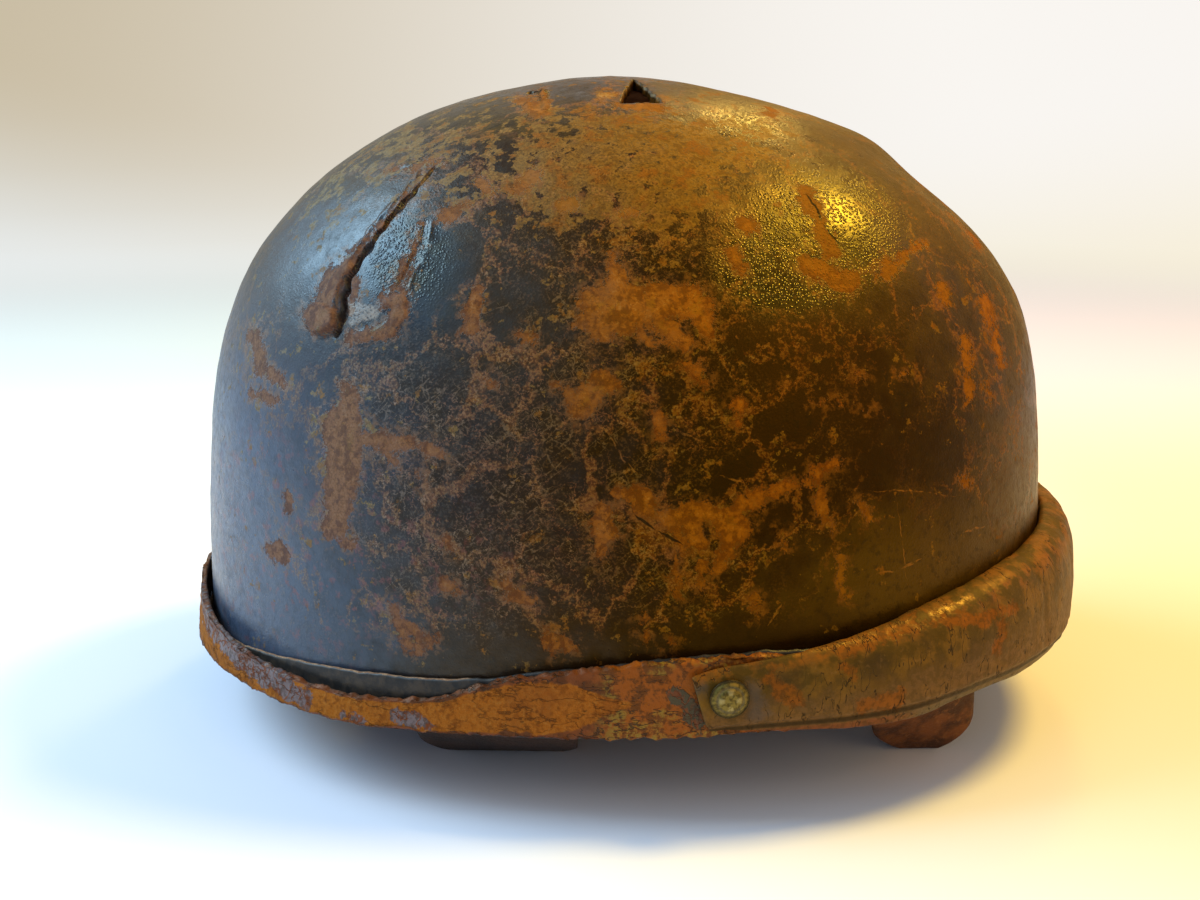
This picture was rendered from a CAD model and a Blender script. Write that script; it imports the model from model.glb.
import math

import bpy
import numpy as np
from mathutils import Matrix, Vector


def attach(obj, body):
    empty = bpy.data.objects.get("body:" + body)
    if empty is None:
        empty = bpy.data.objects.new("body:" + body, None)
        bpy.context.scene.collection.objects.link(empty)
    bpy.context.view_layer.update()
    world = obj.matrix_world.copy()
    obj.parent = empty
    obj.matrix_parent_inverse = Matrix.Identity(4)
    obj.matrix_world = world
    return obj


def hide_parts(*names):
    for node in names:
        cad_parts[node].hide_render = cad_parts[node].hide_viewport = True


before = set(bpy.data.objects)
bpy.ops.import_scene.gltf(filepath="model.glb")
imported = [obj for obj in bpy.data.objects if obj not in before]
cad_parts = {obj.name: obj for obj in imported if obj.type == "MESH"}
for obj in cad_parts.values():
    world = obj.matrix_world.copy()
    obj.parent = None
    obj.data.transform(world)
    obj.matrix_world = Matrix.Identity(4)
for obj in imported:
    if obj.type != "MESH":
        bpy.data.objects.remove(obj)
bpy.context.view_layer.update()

# Units and camera: shapes are worked out in millimetres round the shell's own axis
MM = 0.001
STRAP_REACH = 141.42
BUMPER_REACH = 144.98
CENTRING_X = (STRAP_REACH - BUMPER_REACH) / 2
CAMERA_PLACE = (-0.00998, -0.5125, 0.2049)
CAMERA_TILT = math.radians(76.0)
LENS = 48.0
SENSOR = 36.0
PHOTO_WIDE = 1200
PHOTO_TALL = 900
PHOTO_FOCAL = PHOTO_WIDE * LENS / SENSOR

# Shell: reaches of the plan outline at each height
# Columns: z, front, rear, side
SHELL_ROWS = [
    (22.0, 134.4, 136.6, 113.5),
    (55.0, 133.8, 135.8, 112.5),
    (90.0, 132.5, 133.0, 109.5),
    (118.0, 128.8, 127.0, 103.5),
    (140.0, 120.2, 117.0, 95.0),
    (158.0, 105.3, 102.0, 83.0),
    (173.0, 85.9, 83.6, 68.0),
    (185.0, 64.0, 61.1, 48.5),
    (193.0, 33.5, 35.2, 26.5),
    (197.7, 0.0, 0.0, 0.0),
]
SHELL_TOP_Z = 197.5
SHELL_WALL = 3.0
PLAN_SQUARENESS = 2.05
PLAN_SQUARENESS_CHANGE = 0.1
APEX_SHIFT = -5.0
RIM_MIDDLE_Z = 26.0
RIM_SLOPE = 4.0 / 135.0
RIM_BLEND_Z = 90.0

# Soft dents (positive depth) and swellings (negative depth) of the shell
# Columns: x, y, z, radius, depth
DENTS = [
    (21.6, -4, 194, 24, -0.7),
    (76.6, -6, 178, 20, -1.6),
    (92.6, -6, 166, 20, 1.1),
    (107.6, -8, 153, 16, 0.3),
    (117.6, -10, 141, 14, 0.4),
    (124.6, -12, 126, 18, -0.9),
    (30.6, -64, 168, 34, 1.4),
    (62.6, -62, 158, 30, -1.6),
    (-65.4, -70, 152, 34, -1.8),
    (-29.4, -88, 140, 34, 1.6),
    (10.6, 70, 162, 40, 1.8),
    (-69.4, 62, 150, 36, 1.2),
]
DENT_CENTRE = (0.0, 0.0, 60.0)

# Mesh of the shell: column steps in degrees between plan angles, ring steps in millimetres
# Columns: from, to, step
COLUMN_STEPS = [(-180.0, -145.0, 0.85), (-145.0, -124.5, 0.22), (-124.5, 0.0, 0.85), (0.0, 180.0, 1.4)]
ROW_STEP = 1.6
FINE_ROW_STEP = 0.6
FINE_ROWS_Z = (127.0, 176.0)
FINE_FADE = 4.0
INNER_RINGS = 14
STILL_RINGS = 8
POLE_DROP = 0.32

# Uneven surfaces: size of the swells and how far they reach, in millimetres, and their seed
SHELL_SWELLS = [(42, 0.16, 11), (15, 0.08, 12), (7, 0.035, 13)]
BAND_SWELLS = [(14, 0.35, 31), (4, 0.18, 32)]
BUMPER_SWELLS = [(26, 0.22, 41), (9, 0.12, 42)]
STRAP_FIBRES = [(9, 0.16, 51), (3.2, 0.12, 52)]
STRAP_SWELLS = [(22, 0.25, 53)]
STRAP_TEARS = [(6, 0.5, 54), (2.4, 0.35, 55)]
TAB_SWELLS = [(14, 0.08, 61), (4, 0.04, 62)]
# How far each surface sinks, so that its swells stay inside the plain solid
SHELL_SINK = 0.34
BUMPER_SINK = 0.34
FIBRE_SINK = 0.3
STRAP_SINK = 0.25
TEAR_SINK = 0.6
TAB_SINK = 0.06

# Holes torn through the top, as plan corners
TRIANGLE_HOLE = [(-2.6, -35.0), (10.6, -33.4), (2.1, -9.0)]
TORN_PER_SIDE = 14
TORN_DEPTH = 0.7
TORN_SWELL = 3.0
SMALL_HOLE = {"x": -28.7, "y": -18.3, "radius": 1.7}
SMALL_HOLE_POINTS = 16
HOLE_LOW_Z = 150.0
HOLE_HIGH_Z = 215.0
HOLE_NARROWING = 0.94

# Rim strip: height of its top edge by plan angle from the front
SEAT_GAP = 0.3
BAND_STEP = 0.7
BAND_RADIUS = 130
# Plan angles between which the raw tan edge fades in towards the rear, and out from the front
RAW_EDGE_REAR = (108, 114)
RAW_EDGE_FRONT = (80, 86)
RAW_EDGE_LEVEL = 0.45
BAND_COLUMNS = ("angle", "z")
BAND_TOP = [
    (0, 48.4), (60, 48.5), (80, 48.9), (100, 44.6), (116, 39.2), (128, 37.8), (145, 34.0), (162, 30.5),
    (180, 29.0),
]

# Section of the rim strip: millimetres out from its inner face, share of its height with millimetres up
# from there, and how much of the raw edge shows
# Columns: out, up, lift, edge
BAND_SECTION = [
    (0.0, 0.0, 0.4, 0.0), (0.3, 0.0, 0.0, 0.0), (1.1, 0.0, 0.0, 0.0), (1.4, 0.0, 0.4, 0.0),
    (1.4, 0.35, 0.0, 0.0),
    (1.4, 0.7, 0.0, 0.0), (1.4, 1.0, -0.7, 0.0), (1.2, 1.0, -0.3, 0.55), (0.9, 1.0, 0.0, 1.0),
    (0.4, 1.0, 0.0, 1.0),
    (0.0, 1.0, -0.4, 1.0), (0.0, 0.7, 0.0, 0.2), (0.0, 0.35, 0.0, 0.0),
]

# Padded front bumper: heights and offsets from the shell by plan angle from the front
BUMPER_COLUMNS = ("angle", "top", "fold", "bottom", "seat", "inner", "outer")
BUMPER_ROWS = [
    (0, 66.0, 33.5, 28.0, 0.4, 2.0, 11.0),
    (12, 65.6, 33.5, 28.0, 0.4, 2.0, 11.3),
    (24, 63.8, 33.6, 28.4, 0.4, 2.0, 12.0),
    (34, 61.4, 33.6, 28.8, 0.4, 2.0, 12.0),
    (43, 58.6, 33.0, 28.6, 0.5, 2.0, 11.6),
    (50, 55.8, 32.0, 27.2, 0.7, 3.2, 11.0),
    (55, 53.6, 31.4, 26.8, 1.8, 4.8, 10.4),
    (64, 50.8, 31.0, 27.4, 3.6, 4.7, 9.2),
    (70, 49.2, 31.0, 28.4, 4.7, 4.7, 8.4),
    (76, 47.2, 30.5, 29.0, 4.7, 4.7, 7.6),
    (80, 44.8, 30.0, 29.0, 4.7, 4.7, 7.4),
]
BUMPER_LEDGE_Z = 50.2
BUMPER_LEDGE_DROP = 1.2
BUMPER_FACE = [(0.0, 0.0), (0.34, -0.01), (0.7, 0.08), (0.92, 0.26), (1.0, 0.56), (0.99, 0.8)]
BUMPER_UNDERSIDE = [(0.93, 0.0), (0.7, 0.5), (0.55, 1.0), (0.2, 1.0), (0.0, 0.55)]
BUMPER_END_ANGLE = 80
BUMPER_END_SLANT = 2.2
BUMPER_SLANT_STARTS = 70
BUMPER_POINTS = 72
BUMPER_STEP = 0.5
BUMPER_RADIUS = 135
BUMPER_SPACING = 1.4
CREASE_HEIGHTS = (28, 62)
CREASE_WAVE = 0.35
CREASE_WAVE_SIZE = 12
FOLD_DEPTH = 0.9
FOLD_HALF = 0.9

# Ends of the bumper: degrees in from the end, and size of the section there, which keeps more of its height
BUMPER_END_KEEPS = (0.0, 0.75)
# Columns: inset, size
BUMPER_ENDS = [(0.0, 0.80), (0.12, 0.91), (0.3, 0.97), (0.55, 0.99)]

# Creases of the bumper: plan angle, half-width and lean in degrees, depth in millimetres
# Columns: angle, half, deep, lean
BUMPER_CREASES = [
    (-68, 0.8, 0.3, 2), (-61, 0.6, 0.2, -1), (-50, 0.8, 0.3, 1.5), (-41, 0.6, 0.22, -2),
    (-30, 0.6, 0.3, -1.5),
    (-19, 0.8, 0.3, 2), (-8, 0.6, 0.25, -1), (3, 0.6, 0.25, -1.5), (13, 0.8, 0.3, 1), (22, 0.7, 0.25, -2),
    (34, 0.6, 0.25, 1.5), (43, 0.8, 0.3, -1), (55, 0.7, 0.3, -1.5), (66, 0.6, 0.25, 1),
]

# Strap pushed round the back: offsets of its outer face and heights of both edges by plan angle
STRAP_THICK = 2.4
STRAP_STEP = 0.35
STRAP_RADIUS = 130
STRAP_FACE_POINTS = 17
FIBRE_STRETCH = 2.2
STRAP_BACK_WARP = 0.3
TORN_FROM = 0.75
# Degrees from the stud over which the smooth grain beside it ends
SMOOTH_BESIDE_STUD = (9, 24)
STRAP_COLUMNS = ("angle", "top_off", "top", "bottom_off", "bottom")
STRAP_ROWS = [
    (58, 4.4, 31.0, 4.4, 26.4),
    (62, 4.4, 36.5, 4.4, 26.2),
    (65, 4.4, 40.0, 4.4, 26.4),
    (70, 4.4, 49.2, 4.4, 26.6),
    (82, 4.4, 49.4, 4.4, 26.2),
    (94, 4.4, 47.3, 4.4, 25.8),
    (107, 4.4, 43.0, 4.6, 25.4),
    (117, 4.8, 35.4, 5.6, 24.4),
    (130, 6.0, 32.6, 7.4, 23.4),
    (144, 6.6, 34.2, 8.0, 24.2),
    (157, 5.6, 36.8, 6.8, 24.0),
    (169, 3.8, 40.0, 5.2, 22.2),
    (180, 3.5, 42.4, 4.9, 20.6),
]

# Studs
STUD_AROUND = 64
STUD_ANGLE = 77.4
STUD_Z = 39.3
STUD_CAP_RADIUS = 5.4
STUD_CAP_SEAT = 7.9
# Columns: share, half, deep
STUD_HOLLOWS = [(0.66, 0.07, 0.22), (0.2, 0.12, 0.12)]
STUD_CAP_RISE = 2.0
STUD_SHANK_RADIUS = 1.9
STUD_HEAD_RADIUS = 4.2
STUD_HEAD_THICK = 1.2
STUD_HEAD_GAP = 0.6
STUD_HOLE_RADIUS = 2.3
CUTTER_REACH = 20
CUTTER_AROUND = 24

# Lining tongues
TAB_ACROSS = 28
TAB_DOWN = 60
TAB_THICK = 2.0
TAB_GAP = 0.45
TAB_THIN_FROM = 0.93
TAB_THINNING = 0.5
TAB_LIFT = 0.02
TAB_ROOT_Z = 33.0
TAB_ROUND_Z = 13.0
TABS = [
    {"name": "lining_tab_front", "x": 85.6, "width": 32.0, "sole_y": 64.0, "rise": 0.62, "drift": 3.0,
     "rounding": 0.9},
    {"name": "lining_tab_rear", "x": -37.4, "width": 46.0, "sole_y": 64.5, "rise": 1.0, "drift": 0.0,
     "rounding": 0.35},
]
TAB_COLUMNS = ("way", "beyond", "z", "wide")
TAB_ROWS = [
    (0.0, 0.0, 47.0, 1.0),
    (0.0, 0.0, 33.0, 1.0),
    (0.05, 0.0, 25.0, 1.0),
    (0.2, 0.0, 18.5, 1.0),
    (0.44, 0.0, 12.0, 0.97),
    (0.74, 0.0, 5.4, 0.88),
    (0.93, 0.0, 1.8, 0.76),
    (1.0, 0.0, 1.0, 0.7),
    (1.0, 4.0, 1.0, 0.66),
    (1.0, 9.0, 1.0, 0.62),
    (1.0, 13.0, 1.0, 0.58),
    (1.0, 17.0, 2.6, 0.5),
    (1.0, 19.0, 6.2, 0.4),
]

# Wear seen in the photograph, as strokes between two of its pixels with a half-width at each end
# Columns: x, y, to_x, to_y, half, to_half
BARE_STROKES = [
    # upright patch at the rear, with its branch
    (347, 390, 350, 420, 8, 14), (345, 420, 342, 470, 20, 18), (342, 470, 338, 500, 18, 16),
    (338, 500, 335, 530, 15, 10), (335, 530, 350, 545, 9, 4), (368, 437, 410, 445, 9, 8),
    (385, 450, 395, 462, 7, 4), (410, 445, 445, 455, 5, 4), (417, 472, 422, 483, 3, 2),
    # spots at the rear
    (255, 335, 262, 370, 6, 5), (270, 375, 285, 385, 6, 4), (258, 395, 275, 400, 7, 4),
    (288, 495, 290, 510, 4, 3), (275, 552, 285, 560, 8, 6), (447, 540, 450, 550, 3, 3),
    (447, 585, 462, 597, 6, 4), (489, 378, 492, 384, 5, 4), (526, 336, 528, 337, 6, 6),
    # hooked patch low at the rear
    (392, 606, 398, 618, 4, 6), (400, 622, 402, 636, 7, 6), (404, 640, 418, 649, 7, 5),
    (418, 645, 435, 640, 8, 4), (404, 624, 420, 636, 5, 5),
    # low middle
    (505, 585, 520, 596, 5, 6), (520, 596, 532, 602, 6, 3), (548, 632, 570, 646, 5, 6),
    (556, 640, 552, 650, 5, 3), (600, 510, 604, 530, 8, 12), (602, 535, 600, 556, 12, 5),
    (620, 495, 648, 500, 7, 9), (640, 505, 660, 520, 9, 6),
    # large ragged patch in the middle
    (664, 518, 694, 512, 9, 9), (694, 512, 737, 518, 10, 10), (725, 525, 742, 530, 12, 8),
    (735, 535, 728, 552, 9, 7), (722, 556, 716, 572, 6, 3), (690, 525, 700, 545, 9, 7),
    (672, 525, 684, 545, 6, 5), (680, 552, 676, 585, 4, 2), (703, 560, 700, 590, 3, 2),
    (737, 512, 775, 492, 7, 6), (745, 500, 790, 485, 6, 6), (775, 488, 815, 480, 5, 5),
    (812, 467, 838, 463, 4, 3), (815, 470, 822, 500, 5, 5), (822, 500, 830, 526, 5, 2),
    (860, 503, 866, 515, 3, 3),
    # oval and its neighbours
    (580, 402, 604, 384, 12, 14), (575, 410, 590, 415, 8, 5), (556, 388, 575, 395, 3, 5),
    (655, 416, 661, 424, 4, 6), (661, 424, 664, 438, 7, 4), (690, 366, 705, 378, 7, 8),
    (740, 402, 735, 424, 6, 3),
    # large patch with a peak above the middle
    (612, 256, 616, 285, 4, 13), (590, 300, 620, 318, 11, 20), (585, 325, 610, 338, 8, 7),
    (620, 300, 655, 310, 20, 16), (655, 300, 695, 305, 16, 18), (690, 300, 706, 328, 17, 11),
    (660, 325, 688, 343, 12, 9), (640, 330, 650, 345, 6, 4),
    # beside the tear
    (475, 295, 471, 328, 8, 9), (440, 217, 466, 205, 5, 4), (480, 180, 490, 192, 4, 4),
    (387, 302, 401, 300, 7, 8), (399, 312, 392, 328, 9, 8), (390, 330, 352, 338, 8, 6),
    (352, 257, 336, 276, 4, 9), (336, 276, 324, 300, 9, 10), (321, 318, 322, 318, 17, 17),
    (412, 256, 402, 275, 3, 4), (402, 275, 396, 288, 4, 5), (424, 222, 412, 256, 2, 3),
    (430, 168, 396, 210, 0.5, 1.5), (396, 210, 372, 238, 1.5, 1.5), (372, 236, 352, 258, 1, 4),
    (386, 172, 440, 162, 1.5, 1.5),
    (356, 280, 350, 312, 2, 3),
    # worn top
    (518, 190, 536, 176, 7, 8), (560, 206, 572, 203, 4, 5), (622, 216, 634, 212, 3, 5),
    # round the holes
    (530, 106, 537, 109, 8, 9), (542, 94, 546, 104, 3, 4), (518, 100, 526, 104, 3, 5),
    (618, 106, 662, 105, 3, 3), (600, 95, 612, 96, 3, 2),
    # glossy front top
    (745, 225, 752, 230, 8, 6), (728, 250, 742, 270, 5, 6), (805, 195, 812, 210, 7, 8),
    (820, 225, 832, 255, 6, 8), (810, 266, 850, 285, 12, 10), (885, 262, 920, 246, 4, 5),
    (880, 275, 900, 262, 5, 3), (940, 286, 946, 303, 5, 5), (765, 112, 776, 114, 4, 3),
    # small ones on the dark front
    (782, 382, 796, 380, 2, 2), (815, 404, 838, 403, 2, 1), (858, 374, 868, 373, 2, 1),
    (900, 376, 915, 371, 2, 2), (866, 408, 870, 412, 2, 2),
    # front edge
    (985, 300, 1001, 365, 4, 4), (965, 340, 970, 370, 3, 2), (968, 380, 970, 402, 4, 2),
    (988, 385, 992, 400, 3, 2), (952, 212, 962, 220, 3, 3), (972, 229, 979, 243, 5, 5),
    # low front
    (839, 553, 840, 590, 2, 2), (845, 596, 846, 597, 4, 4), (753, 598, 758, 610, 3, 3),
    (644, 618, 645, 640, 3, 3), (664, 650, 674, 638, 2, 3), (672, 580, 677, 598, 2, 2),
    (964, 478, 966, 482, 3, 3), (781, 533, 786, 548, 3, 2),
]
PALE_STROKES = [
    (352, 309, 372, 311, 7, 7), (372, 311, 352, 322, 6, 4), (600, 95, 612, 96, 3, 2),
]
# Broken flakes left of the lacquer on the strap
FLAKE_STROKES = [
    (206, 590, 213, 618, 10, 12), (213, 618, 238, 647, 12, 15), (238, 647, 272, 676, 15, 14),
    (272, 678, 306, 700, 12, 8), (345, 716, 362, 721, 5, 4),
    (398, 716, 425, 724, 8, 7), (676, 695, 694, 712, 8, 9), (690, 715, 700, 730, 8, 5),
]
# Wear and stains of the bumper
BUMPER_BARE = [
    (845, 652, 866, 641, 6, 5), (866, 641, 915, 624, 6, 6), (915, 622, 980, 620, 4, 6),
    (980, 620, 1016, 606, 6, 4),
    (845, 668, 852, 674, 5, 5), (862, 706, 895, 700, 7, 9), (895, 700, 900, 690, 7, 4),
    (780, 690, 795, 700, 8, 9), (768, 680, 776, 684, 6, 6), (1002, 620, 998, 650, 4, 3),
    (700, 672, 715, 668, 5, 5),
]
BUMPER_BLUE = [(752, 690, 757, 712, 8, 8), (668, 690, 700, 690, 8, 6)]

# Broad tints of the crown, as soft spots in pixels of the photograph
# Columns: x, y, half_x, half_y, level
DUSTY_SPOTS = [
    (560, 178, 75, 38, 0.85), (655, 185, 85, 45, 0.75), (600, 205, 100, 20, 0.35),
    (500, 120, 90, 26, 0.3), (720, 150, 80, 36, 0.5), (640, 130, 110, 26, 0.45),
    (340, 450, 40, 85, 0.3), (255, 350, 26, 50, 0.3), (640, 310, 90, 55, 0.3),
    (450, 190, 30, 24, 0.4), (590, 395, 40, 30, 0.2), (700, 520, 90, 40, 0.25), (405, 146, 60, 26, 0.65),
    (350, 185, 40, 30, 0.4), (312, 222, 34, 40, 0.3),
]
OLIVE_SPOTS = [
    (830, 220, 120, 80, 0.95), (930, 330, 70, 110, 0.6), (910, 560, 110, 75, 0.8), (710, 120, 150, 40, 0.7),
    (480, 120, 120, 30, 0.6), (1010, 450, 40, 120, 0.6), (800, 600, 200, 50, 0.35),
]
COOL_SPOTS = [
    (320, 240, 62, 60, 0.8), (395, 262, 40, 50, 0.9), (435, 275, 36, 60, 1.0), (240, 450, 50, 160, 0.6),
    (300, 590, 100, 70, 0.6), (380, 400, 60, 60, 0.3), (350, 640, 120, 50, 0.5),
]
SCUFF_SPOTS = [
    (560, 420, 160, 130, 0.35), (430, 450, 90, 120, 0.3), (690, 560, 130, 80, 0.3), (650, 260, 150, 90, 0.3),
    (520, 560, 150, 80, 0.25), (860, 430, 110, 90, -0.2), (900, 600, 130, 70, -0.4),
    (240, 560, 60, 130, -0.12),
    (330, 270, 50, 50, -0.4), (435, 275, 30, 55, -0.5), (395, 262, 35, 40, -0.4), (430, 665, 200, 26, -0.6),
    (750, 650, 250, 26, -0.45),
]
GLOSS_SPOTS = [
    (835, 222, 100, 80, 0.8), (745, 122, 60, 24, 0.6), (395, 262, 34, 50, 0.9), (775, 278, 75, 44, 0.75),
    (240, 520, 60, 160, 0.4), (430, 660, 200, 40, 0.3), (435, 260, 30, 50, 0.5), (900, 600, 120, 60, 0.3),
]
RED_SPOTS = [(290, 560, 110, 110, 0.9), (245, 480, 40, 60, 0.5), (470, 560, 120, 70, 0.4)]
# Every soft field of the crown, with its level where no spot lies
SCUFF_BASE = 0.4
# Columns: name, spots, base
SOFT_FIELDS = [
    ("dusty", DUSTY_SPOTS, 0.0), ("olive", OLIVE_SPOTS, 0.0), ("cool", COOL_SPOTS, 0.0),
    ("gloss", GLOSS_SPOTS, 0.0),
    ("red", RED_SPOTS, 0.0), ("scuff", SCUFF_SPOTS, SCUFF_BASE),
]

# Raised (positive) and sunken leather, in millimetres, as strokes in pixels of the photograph
# Columns: x, y, to_x, to_y, half, to_half, height, edge
RELIEF_STROKES = [
    # the long tear
    (434, 166, 416, 188, 0.6, 1.0, -0.9, 2.4), (416, 188, 396, 210, 1.0, 1.7, -1.5, 2.4),
    (396, 210, 380, 231, 1.7, 1.5, -1.9, 2.4), (380, 231, 364, 253, 1.5, 1.9, -2.0, 2.4),
    (364, 253, 350, 276, 1.9, 1.7, -2.1, 2.4), (350, 276, 344, 297, 1.7, 2.2, -2.2, 2.4),
    (344, 297, 343, 314, 2.2, 2.8, -2.3, 2.4), (343, 314, 336, 334, 2.8, 1.8, -2.1, 2.4),
    # the second crack
    (424, 221, 422, 240, 0.8, 0.8, -0.5, 3), (422, 240, 412, 257, 0.8, 1, -0.6, 3),
    (412, 257, 398, 283, 1, 0.8, -0.6, 3),
]
RAISED_STROKES = [
    # the torn tongue of leather and its rounded end
    (366, 236, 350, 262, 1, 3, 0.9, 4), (350, 262, 336, 284, 3, 6, 1.2, 4),
    (336, 284, 328, 304, 6, 9, 1.4, 4),
    (321, 318, 322, 319, 15, 15, 2.5, 4),
    # raised lips beside the tear and the cracks
    (384, 173, 396, 166, 1, 2, 0.3, 3), (396, 166, 419, 163, 2, 2, 0.35, 3),
    (419, 163, 446, 161, 2, 1, 0.3, 3),
    (418, 172, 394, 201, 1, 1.5, 0.4, 4), (394, 201, 362, 240, 1.5, 2, 0.5, 4),
    (432, 224, 428, 244, 1, 1, 0.5, 4), (428, 244, 408, 288, 1, 1, 0.55, 4),
    (387, 303, 400, 300, 5, 6, 0.5, 4), (400, 312, 393, 328, 6, 5, 0.5, 4),
    (390, 330, 356, 338, 6, 5, 0.4, 4),
    # torn leather round the small hole
    (527, 104, 530, 112, 3, 3, 0.7, 4), (542, 92, 546, 106, 2, 3, 1.0, 3),
    (533, 114, 544, 110, 3, 3, 0.5, 4),
]

# Scratches and cracks drawn as lines, in pixels of the photograph
# Columns: x, y, to_x, to_y, half_mm, dark
LINES = [
    (634, 514, 656, 530, 0.5, 1), (656, 530, 684, 545, 0.4, 1), (805, 192, 822, 222, 0.35, 1),
    (822, 222, 843, 251, 0.35, 1), (484, 131, 506, 122, 0.35, 1), (862, 489, 962, 496, 0.22, 0),
    (895, 496, 909, 592, 0.16, 0), (869, 577, 900, 569, 0.22, 0), (900, 569, 922, 557, 0.42, 0),
    (669, 425, 706, 442, 0.3, 0), (719, 474, 747, 483, 0.3, 0), (766, 627, 784, 602, 0.35, 0),
    (962, 533, 987, 525, 0.35, 0), (596, 420, 640, 480, 0.25, 0),
]

# Waviness of the relief's strokes in pixels, and depth in millimetres over which a groove shows
UNEVEN_PIXELS = 1.5
UNEVEN_SIZE = 17
GROOVE_SHOWS = (0.15, 0.85)
# Border between what the camera sees and the far side
SEEN_SHARE = (-0.05, 0.2)
SEEN_WAVE = 0.06
SEEN_WAVE_SIZE = 30
FAR_LIMIT = 30

# Studio, in metres, and its lights
FLOOR_AROUND = 96
FLOOR_CURVE_POINTS = 12
FLOOR_RADIUS = 1.1
WALL_RADIUS = 2.0
WALL_HEIGHT = 2.0
LIT_POINT = (0.0, 0.0, 0.1)
# Distance from the middle at which the floor starts to glow, and glows fully
GLOW_STARTS = 0.7
GLOW_FULL = 1.25
WORLD_COLOUR = (0.84, 0.91, 1.0, 1.0)
WORLD_STRENGTH = 0.24
# Columns: name, direction, distance, size, power, colour
LIGHTS = [
    ("window", (-0.76, 0.08, 0.62), 1.25, (0.95, 0.7), 19.0, (0.56, 0.81, 1.0)),
    ("lamp", (0.51, 0.09, 0.85), 1.1, (0.34,), 14.2, (1.0, 0.66, 0.1)),
    ("second_lamp", (0.24, 0.65, 0.72), 1.1, (0.2,), 2.4, (1.0, 0.68, 0.16)),
    ("room", (0.6, -0.75, 0.5), 1.7, (1.0, 1.0), 3.7, (1.0, 0.64, 0.30)),
    ("sky", (-0.6, -0.5, 0.9), 1.7, (1.4, 1.4), 5.4, (0.64, 0.85, 1.0)),
]
# Cards that show only in reflections: the dim room in front, and lamplit walls to the right
# Columns: name, corners, colour, glow
CARDS = [
    ("dim_room", [(-1.5, -2.0, 0.003), (1.5, -2.0, 0.003), (1.5, -0.34, 0.003), (-1.5, -0.34, 0.003)],
     (0.06, 0.038, 0.02), 0.0),
    ("lamplit_room", [(0.12, 1.5, 0.003), (1.2, 0.5, 0.003), (1.2, 0.5, 1.4), (0.12, 1.5, 1.4)],
     (0.5, 0.3, 0.1), 0.35),
]
MIRRORED = np.array((1.0, -1.0, 1.0))
TURNED = np.array((-1.0, -1.0, 1.0))
FAR = 1e6
TINY = 1e-6


def smooth_table(columns, rows, at):
    """Curved interpolation through a table's rows by its first column"""
    values = np.array(rows, float)
    keys = values[:, 0]
    last = len(keys) - 1
    at = np.clip(np.asarray(at, float), keys[0], keys[-1])
    i = np.clip(np.searchsorted(keys, at) - 1, 0, last - 1)
    before, a, b, after = (values[np.clip(i + k, 0, last)] for k in (-1, 0, 1, 2))
    span = (b - a)[..., :1]
    f = (at[..., None] - a[..., :1]) / span
    slope_a = (b - before) / (b - before)[..., :1]
    slope_b = (after - a) / (after - a)[..., :1]
    found = (
        (2 * f**3 - 3 * f**2 + 1) * a
        + (f**3 - 2 * f**2 + f) * span * slope_a
        + (3 * f**2 - 2 * f**3) * b
        + (f**3 - f**2) * span * slope_b
    )
    return {name: found[..., k] for k, name in enumerate(columns)}


def through(p0, p1, p2, p3, f):
    """Catmull-Rom curve from p1 to p2"""
    return 0.5 * (
        2 * p1 + (p2 - p0) * f + (2 * p0 - 5 * p1 + 4 * p2 - p3) * f**2 + (3 * p1 - p0 - 3 * p2 + p3) * f**3
    )


def shell_row(t):
    """Height and reaches of the shell at fractional row numbers, rounded over the top"""
    rows = np.array(SHELL_ROWS)
    knots = np.vstack([2 * rows[0] - rows[1], rows, rows[-2] * (1, -1, -1, -1)])
    t = np.asarray(t, float)
    i = np.minimum(np.floor(t).astype(int), len(rows) - 2)
    return through(knots[i], knots[i + 1], knots[i + 2], knots[i + 3], (t - i)[..., None])


LAST_ROW = len(SHELL_ROWS) - 1
ROW_NUMBERS = np.linspace(0, LAST_ROW, 4001)
ROW_HEIGHTS = shell_row(ROW_NUMBERS)[:, 0]


def row_at_height(z):
    return shell_row(np.interp(z, ROW_HEIGHTS, ROW_NUMBERS))


def plan_points(row, angle):
    """Points of a plan outline; the angle turns from the front towards the wearer's left"""
    c, s = np.cos(angle), np.sin(angle)
    z, front, rear, side = (row[..., k] for k in range(4))
    along = np.maximum(np.where(c > 0, front, rear), TINY)
    across = np.maximum(side, TINY)
    power = PLAN_SQUARENESS + PLAN_SQUARENESS_CHANGE * c
    reach = (np.abs(c / along) ** power + np.abs(s / across) ** power) ** (-1 / power)
    lean = np.maximum((z - SHELL_ROWS[0][0]) / (SHELL_TOP_Z - SHELL_ROWS[0][0]), 0) ** 2
    return np.stack([reach * c + APEX_SHIFT * lean, reach * s, z + 0 * reach], -1)


def wall_points(angle, z, offset):
    """Points at given heights, moved straight out from the shell's wall"""
    angle, z, offset = np.broadcast_arrays(*(np.asarray(x, float) for x in (angle, z, offset)))
    row = row_at_height(np.maximum(z, SHELL_ROWS[0][0]))
    step = 1e-3
    ahead, behind = plan_points(row, angle + step), plan_points(row, angle - step)
    outward = np.stack([ahead[..., 1] - behind[..., 1], behind[..., 0] - ahead[..., 0]], -1)
    outward /= np.linalg.norm(outward, axis=-1, keepdims=True)
    points = plan_points(row, angle)
    points[..., :2] += outward * offset[..., None]
    points[..., 2] = z
    return points


def wall_outward(angle, z):
    away = wall_points(angle, z, 1.0) - wall_points(angle, z, 0.0)
    return away / np.linalg.norm(away, axis=-1, keepdims=True)


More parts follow.
